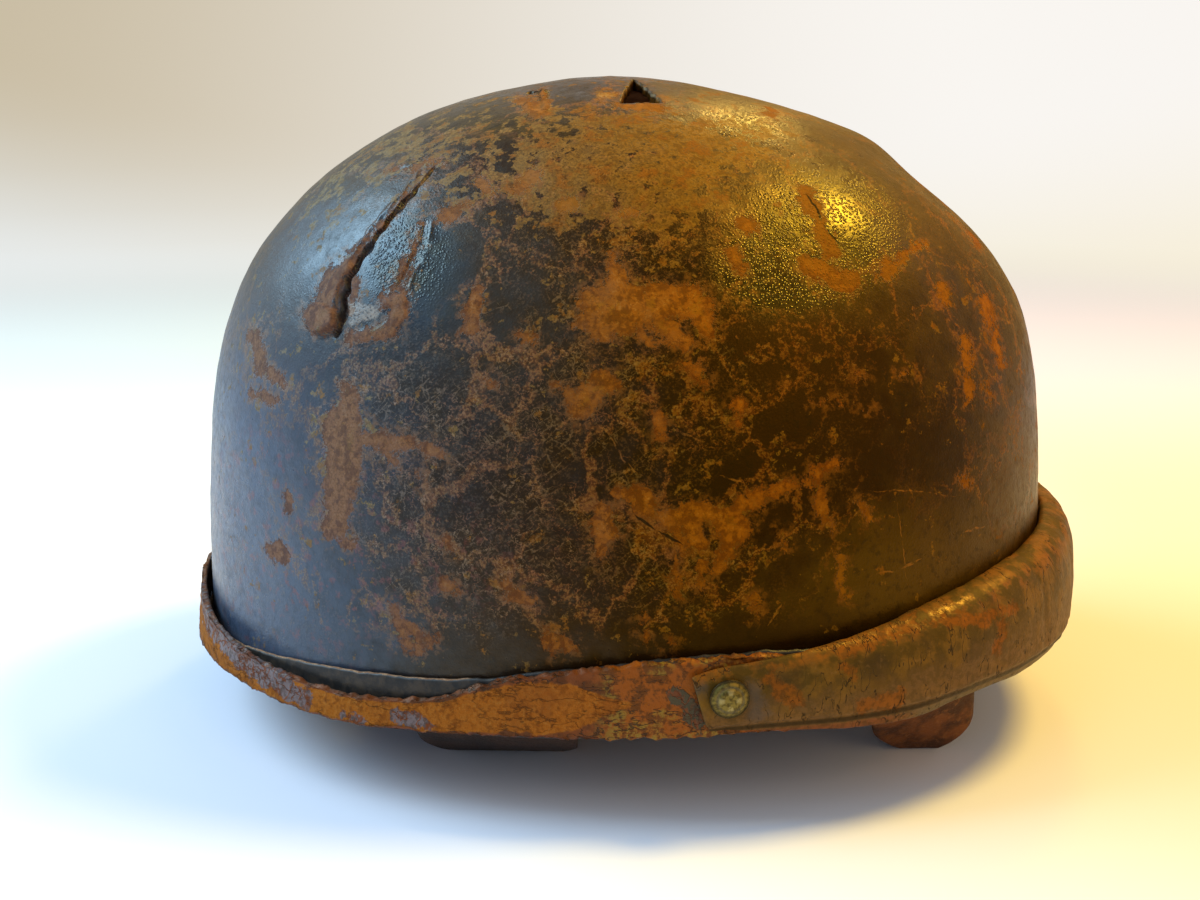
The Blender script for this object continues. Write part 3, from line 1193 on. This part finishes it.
class Shader:
    """Short names for the nodes of one material"""

    def __init__(self, name):
        self.material = bpy.data.materials.new(name)
        self.material.use_nodes = True
        self.nodes = self.material.node_tree.nodes
        self.links = self.material.node_tree.links
        self.nodes.clear()
        self.surface = self.node("BsdfPrincipled")
        self.node("OutputMaterial", Value(self, self.surface.outputs[0]))
        raw = Value(self, self.node("TexCoord").outputs["Object"])
        self.place = self.vector("SCALE", raw, scale=1 / MM)

    def put(self, value, socket):
        if isinstance(value, Value):
            self.links.new(value.socket, socket)
        elif isinstance(value, tuple) and len(value) == 3 and socket.type == "RGBA":
            socket.default_value = (*value, 1.0)
        else:
            socket.default_value = value

    def node(self, kind, *values, **settings):
        """Adds a node, sets it up and fills its inputs in their order"""
        node = self.nodes.new(f"ShaderNode{kind}")
        for name, setting in settings.items():
            setattr(node, name, setting)
        for value, socket in zip(values, [socket for socket in node.inputs if socket.enabled]):
            self.put(value, socket)
        return node

    def math(self, operation, *values):
        return Value(self, self.node("Math", *values, operation=operation).outputs[0])

    def larger(self, a, b):
        return self.math("MAXIMUM", a, b)

    def vector(self, operation, *values, scale=None):
        node = self.node("VectorMath", *values, operation=operation)
        if scale is not None:
            node.inputs["Scale"].default_value = scale
        return Value(self, node.outputs["Value" if operation in ("DOT_PRODUCT", "LENGTH") else "Vector"])

    def axes(self, place):
        return (Value(self, socket) for socket in self.node("SeparateXYZ", place).outputs)

    def pushed(self, reach, *values):
        """The place, pushed about by three values round zero"""
        push = Value(self, self.node("CombineXYZ", *values).outputs[0])
        return self.vector("ADD", self.place, self.vector("SCALE", push, scale=reach))

    def share(self, value, low, high, to_low=0.0, to_high=1.0):
        """Smooth step of a value, from to_low at low to to_high at high"""
        node = self.node("MapRange", value, low, high, to_low, to_high, interpolation_type="SMOOTHSTEP")
        return Value(self, node.outputs[0])

    def moved(self, place, seed, steps, size, stretch, turn=0.0):
        """The place, or the object's own one, turned, shifted by the seed and scaled down by the size"""
        place = self.place if place is None else place
        if turn:
            place = Value(self, self.node("Mapping", place, (0, 0, 0), (0, math.radians(turn), 0)).outputs[0])
        shift = tuple(seed * step for step in steps)
        scale = tuple(1 / (size * k) for k in stretch)
        return Value(self, self.node("Mapping", place, shift, (0, 0, 0), scale).outputs[0])

    def fill(self, node, **values):
        for name, value in values.items():
            self.put(value, node.inputs[name])

    def noise(self, size, detail, rough, seed, stretch=(1, 1, 1), place=None, turn=0.0):
        node = self.node("TexNoise")
        place = self.moved(place, seed, NOISE_STEPS, size, stretch, turn)
        self.fill(node, Vector=place, Scale=1.0, Detail=detail, Roughness=rough, Distortion=0.0)
        return Value(self, node.outputs["Fac"])

    def cells(self, size, feature="F1", seed=0, place=None):
        node = self.node("TexVoronoi", feature=feature)
        place = self.moved(place, seed, CELL_STEPS, size, (1, 1, 1))
        self.fill(node, Vector=place, Scale=1.0, Randomness=1.0)
        return Value(self, node.outputs["Distance"])

    def thread(self, size, half, seed, stretch=(1, 1, 1), detail=2.0, place=None, turn=0.0):
        """Hairlines where a noise crosses its middle"""
        value = self.noise(size, detail, 0.55, seed, stretch, place, turn)
        return self.share(abs(value - 0.5), half, half * 0.35)

    def field(self, name, output="Fac"):
        return Value(self, self.node("Attribute", attribute_name=name).outputs[output])

    def fields(self, *names):
        return (self.field(name) for name in names)

    def mix(self, a, b, share, kind="RGBA"):
        node = self.node("Mix", share, a, b, data_type=kind)
        return Value(self, next(socket for socket in node.outputs if socket.enabled))

    def blend(self, a, b, share):
        return self.mix(a, b, share, "FLOAT")

    def coats(self, colour, *layers):
        """Lays colours over one another, each by its share"""
        for layer, share in layers:
            colour = self.mix(colour, layer, share)
        return colour

    def finish(self, colour, roughness, height, metallic=0.0, specular=0.5, tint=(1.0, 1.0, 1.0)):
        """Fills the surface; the height is in millimetres, or None for a smooth one"""
        if height is not None:
            bump = self.node("Bump")
            self.fill(bump, Distance=MM, Strength=1.0, Height=height)
            self.fill(self.surface, Normal=Value(self, bump.outputs[0]))
        self.fill(self.surface, Roughness=roughness, Metallic=metallic)
        self.fill(self.surface, **{"Base Color": colour, "Specular IOR Level": specular})
        self.fill(self.surface, **{"Specular Tint": tint})
        return self.material


# Colours of the crown
LACQUER_DARK = (0.017, 0.0075, 0.0028)
LACQUER_COOL = (0.012, 0.014, 0.017)
LACQUER_OLIVE = (0.062, 0.039, 0.005)
LACQUER_DEEP = (0.007, 0.005, 0.0035)
SPECKLE_COOL = (0.072, 0.052, 0.034)
SPECKLE_WARM = (0.080, 0.038, 0.012)
HAZE = (0.108, 0.120, 0.122)
STAIN = (0.115, 0.042, 0.012)
STAIN_GREY = (0.070, 0.044, 0.020)
VEIN = (0.15, 0.046, 0.013)
VEIN_PALE = (0.23, 0.110, 0.030)
DUST = (0.30, 0.175, 0.045)
DUST_DEEP = (0.14, 0.078, 0.022)
DUST_RED = (0.21, 0.092, 0.020)
HAIRLINE = (0.30, 0.115, 0.045)
HAIRLINE_PALE = (0.33, 0.22, 0.13)
HALO = (0.20, 0.085, 0.028)
LEATHER_BARE = (0.31, 0.118, 0.018)
LEATHER_DEEP = (0.15, 0.053, 0.012)
LEATHER_PALE = (0.44, 0.23, 0.075)
LEATHER_RED = (0.17, 0.045, 0.030)
LEATHER_YELLOW = (0.31, 0.155, 0.018)
LEATHER_GOLDEN = (0.25, 0.125, 0.024)
LEATHER_DIRTY = (0.07, 0.024, 0.008)
LEATHER_SOAKED = (0.12, 0.036, 0.010)
LEATHER_COOL = (0.185, 0.080, 0.040)
LEATHER_COOL_DEEP = (0.120, 0.054, 0.030)
LEATHER_COOL_PIT = (0.060, 0.030, 0.020)
CRUMBS = (0.34, 0.235, 0.13)
GROOVE_WALL = (0.055, 0.018, 0.006)
GROOVE_FLOOR = (0.020, 0.008, 0.004)
SCRATCH_LIGHT = (0.32, 0.15, 0.06)
CRACK_DARK = (0.006, 0.005, 0.004)
TINT_COOL = (0.80, 0.98, 1.5)
TINT_WARM = (0.85, 0.62, 0.12)
SHEEN_COOL = (0.68, 0.88, 1.0)
SHEEN_WARM = (1.0, 0.54, 0.04)
SHEEN_GOLD = (1.0, 0.80, 0.07)


def line_ends(crown):
    """End points on the shell of the charted lines, in millimetres in the row frame"""
    found = []
    for x0, y0, x1, y1, half, dark in LINES:
        ends = []
        for x, y in ((x0, y0), (x1, y1)):
            way = AHEAD * PHOTO_FOCAL + RIGHTWARD * (x - PHOTO_WIDE / 2) - UPWARD * (y - PHOTO_TALL / 2)
            hit, place, _, _ = crown.ray_cast(Vector(CAMERA_PLACE), Vector(way / np.linalg.norm(way)))
            if hit:
                ends.append(np.array(place) / MM)
        if len(ends) == 2:
            found.append((*ends, half, dark))
    return found


def drawn_lines(s, lines, wave, dark):
    """Mask of the scratches (dark 0) or cracks (dark 1) between their end points"""
    total = 0.0
    for start, end, half, is_dark in lines:
        if is_dark != dark:
            continue
        length = float(np.linalg.norm(end - start))
        along = (end - start) / length
        outward = start - np.array(DENT_CENTRE)
        across = np.cross(along, outward / np.linalg.norm(outward))
        across /= np.linalg.norm(across)
        away = s.vector("SUBTRACT", s.place, tuple(start))
        run = s.vector("DOT_PRODUCT", away, tuple(along)) / length
        off = abs(s.vector("DOT_PRODUCT", away, tuple(across)) + wave * 3.0)
        taper = run * (1.0 - run) * 4.0
        mask = s.share(off - taper * half, 0.05, -0.1) * s.share(taper, 0.0, 0.1)
        # the far wall lies behind the same plane
        mask = mask * s.share(s.vector("LENGTH", away), length * 1.3, length * 1.2)
        total = s.larger(total, mask)
    return total


def lacquer_material(crown):
    """The crown's outer material; its charted lines are found on the uncut shell"""
    s = Shader("lacquered_leather")
    bare, dusty, olive, cool = s.fields("bare", "dusty", "olive", "cool")
    gloss, red, scuff, groove, pale = s.fields("gloss", "red", "scuff", "groove", "pale")
    broad, middling = s.noise(24.0, 2.0, 0.55, 1), s.noise(7.0, 3.0, 0.6, 2)
    small, tiny = s.noise(2.2, 3.0, 0.62, 3), s.noise(0.7, 2.0, 0.6, 4)
    flaked = s.noise(4.6, 4.0, 0.68, 21)
    drift, swing = broad - 0.5, middling - 0.5

    # lamplight colours the front half, daylight the rear
    x, y, z = s.axes(s.place)
    rearward = x + swing * 60.0
    warmth = s.share(rearward, -92.0, 22.0)
    olive = olive * s.share(rearward, -115.0, -35.0)
    cool = cool * s.share(rearward, 0.0, -45.0)

    # lacquer
    speckle = s.share(tiny + (small - 0.5) * 0.5, 0.5, 0.66)
    gathered = s.share(scuff + drift * 2.4 + swing * 0.8, 0.2, 0.75)
    haze = s.share(rearward, -50.0, -115.0) * s.share(z, 150.0, 95.0) * s.share(small, 0.7, 0.35, 0.7, 1.0)
    haze = haze * s.share(y, 70.0, -40.0, 0.35, 1.0) * s.share(swing, -0.12, 0.12, 0.7, 1.0)
    colour = s.coats(
        LACQUER_DARK,
        (LACQUER_COOL, s.share(cool + broad * 0.3, 0.35, 0.85)),
        (LACQUER_OLIVE, s.share(olive + swing * 0.8, 0.2, 0.95)),
        (LACQUER_DEEP, s.share(small, 0.5, 0.68) * 0.55),
        (s.mix(SPECKLE_COOL, SPECKLE_WARM, warmth), speckle * gathered * 0.7),
        (HAZE, haze * 0.6),
    )

    # rubbed veins between dark cells, where stain, flecks and hairlines gather
    web = s.cells(22.0, "DISTANCE_TO_EDGE", seed=8, place=s.pushed(20.0, swing, drift, flaked - 0.5)) * 22.0
    vein = s.share(web + drift * 6.0, 1.7, 0.2)
    tangle = scuff + s.share(bare, 8.0, 0.0) * 0.16 + drift + vein * 0.45 - 0.42
    stain = s.share(tangle + (small - 0.5) * 1.3, 0.42, 1.05) * 0.5
    rubbed = vein * s.share(tangle, 0.1, 0.55) * s.share(small, 0.36, 0.52)
    rubbed = rubbed * s.share(tiny, 0.36, 0.54, 0.25, 1.0) * s.blend(0.55, 0.75, warmth)
    rubbed = rubbed * s.share(scuff, 0.05, 0.4)

    # dust over the top
    dust = s.share(dusty + (0.5 - flaked) * 3.4 + swing * 1.6, 0.45, 0.62)
    dust = dust * s.share(small, 0.36, 0.56, 0.4, 1.0) * s.share(tiny, 0.36, 0.52, 0.55, 1.0)
    dust_colour = s.mix(DUST, DUST_DEEP, s.share(small, 0.42, 0.58))
    colour = s.coats(
        colour,
        (s.mix(STAIN, STAIN_GREY, s.share(broad, 0.42, 0.6)), stain),
        (s.mix(VEIN, VEIN_PALE, s.share(tiny, 0.45, 0.6)), rubbed),
        (s.mix(dust_colour, DUST_RED, s.share(swing, 0.04, 0.14)), dust * 0.92),
    )

    # hairline scuffs: wandering ones in the veins, straight ones across them
    threads = s.larger(
        s.thread(7.5, 0.009, 11, detail=4.0) * s.share(tangle, 0.1, 0.55),
        s.thread(3.4, 0.016, 12, (1, 1, 0.5), 2.0) * s.share(tangle, 0.3, 0.75),
    )
    straight = s.larger(
        s.thread(3.0, 0.02, 15, (9, 1, 1), 1.0, turn=38.0),
        s.thread(3.4, 0.02, 16, (9, 1, 1), 1.0, turn=-52.0),
    )
    straight = straight * s.share(scuff + swing * 2.2, 0.6, 0.95)
    threads = s.larger(threads, straight * 0.5)
    scratch = threads * s.share(tiny, 0.36, 0.54)

    # leather where the lacquer has gone
    ragged = (flaked - 0.5) * 9.0 + swing * 1.6
    loss = bare - ragged + (tiny - 0.5) * 3.5
    stray = s.share(small, 0.66, 0.71) * s.share(tangle, 0.3, 0.7)
    torn = s.share(loss, 0.7, -0.5)
    open_leather = s.larger(torn, stray * 0.85)
    halo = s.share(loss, 3.4, 0.4) * s.share(small, 0.45, 0.62)
    specks = s.share(s.noise(3.4, 3.0, 0.62, 24), 0.54, 0.66) * s.share(red, 0.1, 0.7)
    mottle = s.share(swing * 0.6 + small, 0.46, 0.62)
    golden = s.larger(olive, dusty * 0.9)
    cool_body = s.coats(
        LEATHER_COOL, (LEATHER_COOL_DEEP, mottle), (LEATHER_COOL_PIT, s.share(tiny, 0.5, 0.36) * 0.6),
    )
    body = s.coats(
        LEATHER_BARE,
        (LEATHER_DEEP, mottle),
        (LEATHER_PALE, s.share(tiny, 0.48, 0.64) * s.share(small, 0.52, 0.38) * 0.7),
        (LEATHER_YELLOW, s.share(flaked, 0.46, 0.36) * 0.6),
        (LEATHER_DIRTY, s.share(threads, 0.1, 0.9) * 0.5),
        (LEATHER_SOAKED, s.share(loss, -2.4, 0.2) * 0.65),
        (LEATHER_GOLDEN, golden * s.share(flaked, 0.36, 0.54) * 0.85),
        (cool_body, s.blend(0.7, 0.0, warmth)),
    )
    crumbs = s.share(pale - ragged * 0.4, 0.5, -0.6) * s.share(tiny, 0.3, 0.55)
    lines = line_ends(crown)
    cracks, scratches = drawn_lines(s, lines, swing, 1), drawn_lines(s, lines, swing, 0)
    colour = s.coats(
        colour,
        (s.mix(HAIRLINE, HAIRLINE_PALE, s.share(middling, 0.42, 0.6)), scratch * 0.5),
        (HALO, halo * 0.6),
        (LEATHER_RED, specks * s.share(tiny, 0.36, 0.54, 0.4, 1.0) * 0.6),
        (body, open_leather),
        (CRUMBS, crumbs * 0.7),
        (s.mix(GROOVE_WALL, GROOVE_FLOOR, s.share(groove, 0.55, 0.95)), s.share(groove, 0.1, 0.6)),
        (SCRATCH_LIGHT, scratches * s.share(small, 0.36, 0.6) * 0.6),
        (CRACK_DARK, cracks * 0.9),
    )
    colour = s.vector("MULTIPLY", colour, s.mix(TINT_COOL, TINT_WARM, warmth))
    warm_sheen = s.mix(SHEEN_WARM, SHEEN_GOLD, s.share(gloss, 0.2, 0.8))

    worn = s.larger(open_leather, dust * s.blend(0.8, 0.3, gloss))
    roughness = s.blend(0.38, 0.24, gloss) + swing * 0.3 + (small - 0.5) * 0.25 + scratch * 0.2
    roughness = s.blend(roughness + stain * 0.12 + speckle * 0.08, 0.75, worn)
    specular = s.blend(s.blend(0.55, s.blend(0.24, 0.62, gloss), warmth), 0.14, worn)

    # heights in millimetres
    grain = s.share(s.cells(0.8, seed=3), 0.1, 0.6)
    bubbled = s.share(cool * gloss, 0.35, 0.8)
    height = small * s.blend(s.blend(0.09, 0.3, bubbled), 0.2, torn) + tiny * s.blend(0.02, 0.06, torn)
    height = height + grain * s.blend(-0.02, -0.15, s.share(gloss, 0.25, 0.9)) - torn * 0.2
    return s.finish(colour, roughness, height, specular=specular, tint=s.mix(SHEEN_COOL, warm_sheen, warmth))


def lining_material():
    s = Shader("shell_inside")
    broad, fine = s.noise(14.0, 4.0, 0.6, 51), s.noise(1.5, 4.0, 0.65, 52)
    # cleaner leather inside the top, where light falls in through the holes
    _, _, z = s.axes(s.place)
    clean = s.mix((0.42, 0.17, 0.065), (0.26, 0.095, 0.034), s.share(broad, 0.4, 0.6))
    colour = s.coats(
        (0.11, 0.040, 0.015),
        ((0.055, 0.022, 0.009), s.share(broad, 0.4, 0.65)),
        ((0.20, 0.085, 0.034), s.share(fine, 0.55, 0.75) * 0.5),
        (clean, s.share(z, 150.0, 185.0)),
    )
    return s.finish(colour, s.share(fine, 0.3, 0.7, 0.85, 0.65), fine * 0.25, specular=0.1)


def band_material():
    """Black leather with a raw tan edge"""
    s = Shader("band_leather")
    small, fine = s.noise(3.0, 4.0, 0.6, 55), s.noise(0.9, 3.0, 0.6, 56)
    tan = s.mix((0.20, 0.095, 0.045), (0.34, 0.20, 0.11), s.share(fine, 0.4, 0.65))
    raw = s.share(s.field("edge") + (small - 0.5) * 1.2, 0.62, 0.95)
    colour = s.coats(
        (0.012, 0.010, 0.009), ((0.035, 0.024, 0.016), s.share(small, 0.42, 0.65)), (tan, raw),
    )
    return s.finish(colour, s.blend(0.42, 0.85, raw), small * 0.14 + fine * 0.06, specular=0.35)


def bumper_material():
    s = Shader("bumper_leather")
    bare, blue, level = s.fields("bare", "blue", "height")
    flow = s.field("flow", "Vector")
    broad, middling = s.noise(18.0, 3.0, 0.6, 61), s.noise(6.0, 3.0, 0.6, 62)
    small, fine = s.noise(1.8, 3.0, 0.62, 63), s.noise(0.7, 2.0, 0.6, 64)
    swing = middling - 0.5
    # rosy brown where the lower half has rubbed
    low = s.share(level + swing * 0.9, 0.62, 0.12) * s.share(level, -1.2, -0.4)
    rosy = s.mix((0.160, 0.076, 0.028), (0.100, 0.050, 0.018), s.share(small, 0.42, 0.6))
    # worn crest and patches, and blue-black stains
    ragged = (s.noise(4.4, 4.0, 0.66, 65) - 0.5) * 8.0 + swing * 2.0
    wear = s.share(bare - ragged, 1.0, -0.8)
    crest = s.share(abs(level - 0.93), 0.16, 0.02) * s.share(middling, 0.42, 0.58)
    orange = s.mix((0.24, 0.066, 0.006), (0.125, 0.040, 0.006), s.share(small, 0.42, 0.62))
    # red-brown under layer behind the fold, towards the studs
    along, _, _ = s.axes(flow)
    behind = s.share(level, -0.04, -0.12)
    under = behind * s.share(abs(along), 118.0, 136.0)
    red_brown = s.mix((0.17, 0.046, 0.015), (0.09, 0.028, 0.010), s.share(small, 0.4, 0.6))
    # upright cracks, and the dark line under the roll
    cracks = s.thread(8.0, 0.012, 67, (0.5, 2.4, 1), 3.0, flow) * s.share(middling, 0.44, 0.56)
    fold = s.share(abs(level + 0.03), 0.055, 0.015)
    colour = s.coats(
        (0.060, 0.032, 0.005),
        ((0.132, 0.062, 0.009), s.share(middling, 0.4, 0.62)),
        ((0.030, 0.018, 0.008), s.share(broad, 0.5, 0.68) * 0.7),
        ((0.18, 0.09, 0.026), s.share(small, 0.56, 0.74) * 0.4),
        (rosy, low * 0.6),
        (orange, s.larger(wear, crest * 0.75) * 0.68),
        ((0.055, 0.055, 0.060), s.share(blue - ragged, 2.0, -2.0) * 0.5),
        (red_brown, under * 0.85),
        ((0.105, 0.080, 0.042), behind * s.share(under, 0.5, 0.0) * 0.6),
        ((0.016, 0.009, 0.005), s.larger(cracks, fold) * 0.85),
    )
    polished = crest * s.share(bare, 12.0, 2.0)
    roughness = s.blend(0.55, 0.6, wear) + (small - 0.5) * 0.3 - polished * 0.32
    calm = s.blend(1.0, 0.3, polished)
    height = middling * 0.22 * calm + small * 0.12 * calm + fine * 0.06 - cracks * 0.35 - wear * 0.1
    return s.finish(colour, roughness, height, specular=s.blend(0.24, 0.15, wear), tint=(1.0, 0.66, 0.2))


def strap_material():
    """Smooth grain left along both edges and beside the stud; the middle has split to rough fibres"""
    s = Shader("strap_leather")
    flow = s.field("flow", "Vector")
    up, back, flake, beside = s.fields("up", "back", "flake", "beside_stud")
    broad, middling = s.noise(14.0, 3.0, 0.6, 83), s.noise(5.0, 3.0, 0.62, 81)
    small, fine = s.noise(1.5, 3.0, 0.66, 84), s.noise(0.6, 2.0, 0.6, 82)
    swing = middling - 0.5
    hollows = s.share(small, 0.56, 0.42)
    grain = s.share(abs(up - 0.48) * 2.0 + swing * 0.4 + beside * 0.8, 0.7, 0.78)
    orange = s.coats(
        (0.225, 0.056, 0.003),
        ((0.10, 0.028, 0.003), s.share(small + swing * 1.2, 0.42, 0.62)),
        ((0.20, 0.135, 0.018), s.share(broad, 0.5, 0.6) * hollows * 0.8),
    )
    smooth = s.coats(
        (0.14, 0.034, 0.007),
        ((0.075, 0.020, 0.005), s.share(middling, 0.42, 0.6)),
        (orange, s.share(beside, 0.25, 0.8)),
    )
    rough = s.coats(
        (0.28, 0.088, 0.010),
        ((0.185, 0.056, 0.008), s.share(small + swing * 0.5, 0.44, 0.66)),
        ((0.29, 0.118, 0.022), s.share(fine, 0.48, 0.64) * hollows * 0.6),
        ((0.19, 0.058, 0.011), s.share(broad, 0.52, 0.66) * 0.5),
    )
    cracks = s.larger(
        s.thread(9.0, 0.012, 85, (1.6, 0.6, 1), 4.0, flow) * s.share(broad, 0.44, 0.54),
        s.thread(3.4, 0.02, 86, (1.8, 0.6, 1), 2.0, flow) * s.share(middling, 0.5, 0.58) * 0.6,
    )
    # flakes of paint left over a red layer
    ragged = (s.noise(4.2, 4.0, 0.66, 87) - 0.5) * 8.0 + (small - 0.5) * 2.0
    layer = s.share(flake - ragged, 0.3, -0.3)
    splits = s.thread(5.0, 0.03, 88, (0.8, 1.2, 1), 2.0, flow)
    left = layer * (1.0 - s.larger(cracks, splits) * 0.85) * s.share(middling, 0.66, 0.5)
    paint = s.coats(
        (0.125, 0.100, 0.108),
        ((0.055, 0.042, 0.042), s.share(small + swing * 0.6, 0.42, 0.6)),
        ((0.042, 0.044, 0.028), s.share(beside, 0.3, 0.7)),
    )
    colour = s.coats(
        rough,
        (smooth, grain),
        ((0.03, 0.012, 0.006), cracks * s.blend(0.5, 0.85, grain)),
        ((0.13, 0.034, 0.014), layer * 0.8),
        (paint, left * 0.92),
        ((0.05, 0.025, 0.012), s.share(back, 0.6, 1.0) * 0.8),
    )
    smoothness = s.larger(grain, left)
    roughness = s.blend(0.85, 0.46, smoothness) + (small - 0.5) * 0.25
    height = small * s.blend(0.5, 0.12, smoothness) + fine * s.blend(0.16, 0.03, smoothness) + middling * 0.5
    height = height - cracks * 0.4 + left * 0.2 + grain * 0.3
    return s.finish(colour, roughness, height, specular=s.blend(0.12, 0.3, smoothness), tint=(1.0, 0.75, 0.5))


def stud_material():
    """Brass with a worn four-lobed figure inside a dark ring"""
    s = Shader("aged_brass")
    across, up, _ = s.axes(s.field("face", "Vector"))
    radius = s.math("SQRT", across * across + up * up)
    turn = s.math("ARCTAN2", up, across)
    small, fine = s.noise(1.2, 4.0, 0.6, 91), s.noise(0.4, 3.0, 0.6, 92)
    ring = s.share(abs(radius - 0.66), 0.1, 0.02)
    worn = s.share(abs(radius - 0.44), 0.24, 0.06) * s.share(s.math("COSINE", turn * 4.0), -0.2, 0.8)
    colour = s.coats(
        (0.17, 0.125, 0.028),
        ((0.075, 0.055, 0.013), s.share(small, 0.42, 0.62)),
        ((0.38, 0.31, 0.13), worn * s.share(small, 0.36, 0.56) * 0.65),
        ((0.05, 0.032, 0.012), ring * 0.4),
        ((0.022, 0.015, 0.008), s.share(radius, 0.84, 0.97) * 0.85),
    )
    roughness = 0.36 + (small - 0.5) * 0.5 + ring * 0.2
    height = small * 0.1 + fine * 0.03 - ring * 0.08 + worn * 0.04
    return s.finish(colour, roughness, height, metallic=s.blend(0.85, 0.35, ring))


def tongue_material():
    """Brown leather; the rear pair is dark with old polish"""
    s = Shader("tongue_leather")
    broad, small, fine = s.noise(9.0, 3.0, 0.6, 95), s.noise(2.0, 3.0, 0.62, 96), s.noise(0.6, 2.0, 0.6, 97)
    x, _, _ = s.axes(s.place)
    colour = s.coats(
        (0.17, 0.054, 0.012),
        ((0.06, 0.021, 0.007), s.share(broad, 0.4, 0.64)),
        ((0.27, 0.10, 0.024), s.share(small, 0.54, 0.72) * 0.5),
        ((0.012, 0.008, 0.006), s.share(x, 30.0, 10.0, 0.0, 0.85)),
    )
    return s.finish(colour, s.share(fine, 0.3, 0.7, 0.85, 0.65), small * 0.25 + fine * 0.08, specular=0.3)


def floor_material():
    """Pale paper that turns, beyond the floor, into evenly glowing walls"""
    s = Shader("pale_paper")
    x, y, _ = s.axes(s.place)
    wall = s.share(s.math("SQRT", x * x + y * y), GLOW_STARTS / MM, GLOW_FULL / MM)
    front = s.mix((0.40, 0.54, 0.72), (0.62, 0.48, 0.28), s.share(x, -300.0, 1300.0))
    behind = s.mix((0.80, 0.84, 0.85), (0.93, 0.86, 0.70), s.share(x, -900.0, 700.0))
    backdrop = s.mix((0.58, 0.50, 0.36), (0.95, 0.92, 0.88), s.share(x, -900.0, 500.0))
    glow = s.coats(front, (behind, s.share(y, -500.0, 700.0)), (backdrop, s.share(y, 1000.0, 1500.0)))
    # daylight on the paper's left, lamplight on its right, and less of both farther off
    broad = s.noise(600.0, 1.0, 0.5, 98)
    paper = s.mix((0.735, 0.765, 0.87), (0.74, 0.64, 0.52), s.share(x + broad * 60.0, 40.0, 290.0))
    far_paper = s.mix((0.58, 0.65, 0.71), (0.66, 0.63, 0.80), s.share(x, -200.0, 250.0))
    colour = s.coats(paper, (far_paper, s.share(y, 180.0, 560.0)), ((0.0, 0.0, 0.0), wall))
    s.fill(s.surface, **{"Emission Color": glow, "Emission Strength": wall})
    material = s.finish(colour, 0.9, None, specular=0.0)
    material.cycles.emission_sampling = "NONE"
    return material


def card_material(name, colour, glow):
    s = Shader(name)
    brighter = tuple(1.3 * c for c in colour)
    s.fill(s.surface, **{"Emission Color": colour, "Emission Strength": glow})
    return s.finish(s.mix(colour, brighter, s.noise(300.0, 1.0, 0.5, 89)), 0.9, None, specular=0.1)


# Studio
def reflected_card(name, corners, colour, glow):
    card = add_mesh(name, corners, [(0, 1, 2, 3)])
    card.data.materials.append(card_material(name, colour, glow))
    card.visible_camera = False
    card.visible_diffuse = False
    card.visible_shadow = False


def make_stage():
    profile = [(0.001, 0.0), (0.4, 0.0), (FLOOR_RADIUS, 0.0)]
    for share in np.linspace(0.1, 1.0, FLOOR_CURVE_POINTS):
        turn = share * math.pi / 2
        profile.append((
            FLOOR_RADIUS + (WALL_RADIUS - FLOOR_RADIUS) * math.sin(turn),
            (WALL_RADIUS - FLOOR_RADIUS) * (1 - math.cos(turn)),
        ))
    profile.append((WALL_RADIUS, WALL_HEIGHT))
    turns = np.linspace(0, 2 * math.pi, FLOOR_AROUND, endpoint=False)
    points = [(r * math.cos(a), r * math.sin(a), z) for r, z in profile for a in turns]
    floor = add_mesh("floor", points, ring_faces(len(profile), len(turns)) + [tuple(range(len(turns)))])
    floor.data.materials.append(floor_material())
    for card in CARDS:
        reflected_card(*card)


def make_light(name, direction, distance, size, power, colour):
    """Area light aimed at the helmet: a rectangle by two sizes, or a disk by one"""
    data = bpy.data.lights.new(name, "AREA")
    data.shape = "RECTANGLE" if len(size) == 2 else "DISK"
    data.size = size[0]
    if len(size) == 2:
        data.size_y = size[1]
    data.energy = power
    data.color = colour
    light = add_object(name, data)
    way = Vector(direction).normalized()
    light.location = Vector(LIT_POINT) + way * distance
    light.rotation_euler = way.to_track_quat("Z", "Y").to_euler()
    light.visible_camera = False


def make_studio():
    make_stage()
    for light in LIGHTS:
        make_light(*light)
    world = bpy.data.worlds.new("studio")
    bpy.context.scene.world = world
    world.use_nodes = True
    background = world.node_tree.nodes["Background"]
    background.inputs["Color"].default_value = WORLD_COLOUR
    background.inputs["Strength"].default_value = WORLD_STRENGTH
    camera = add_object("camera", bpy.data.cameras.new("camera"))
    camera.location = CAMERA_PLACE
    camera.rotation_euler = (CAMERA_TILT, 0.0, 0.0)
    camera.data.lens = LENS
    camera.data.sensor_width = SENSOR
    camera.data.clip_start = 0.01
    bpy.context.scene.camera = camera
    bpy.context.scene.view_settings.view_transform = "Standard"


def main():
    crown = make_crown()
    pieces = [
        (crown, "crown", "lacquered_leather"),
        (make_band(), "rim_band", "band_leather"),
        (make_strap(), "rear_strap", "strap_leather"),
        (make_stud(-1, "stud_right_side"), "stud_right", "stud_metal"),
        (make_stud(1, "stud_left_side"), "stud_left", "stud_metal"),
    ]
    bumper = make_bumper()
    pieces.append((bumper, "front_bumper", "bumper_leather"))
    for tab in TABS:
        for side, word in ((-1, "right"), (1, "left")):
            piece = make_tab(tab, side, f"{tab['name'].replace('lining_tab', 'tongue')}_{word}")
            pieces.append((piece, f"{tab['name']}_{word}", "lining_leather"))
    for piece, node, slot in pieces:
        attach(piece, "root")
        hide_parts(node)
    make_studio()


main()
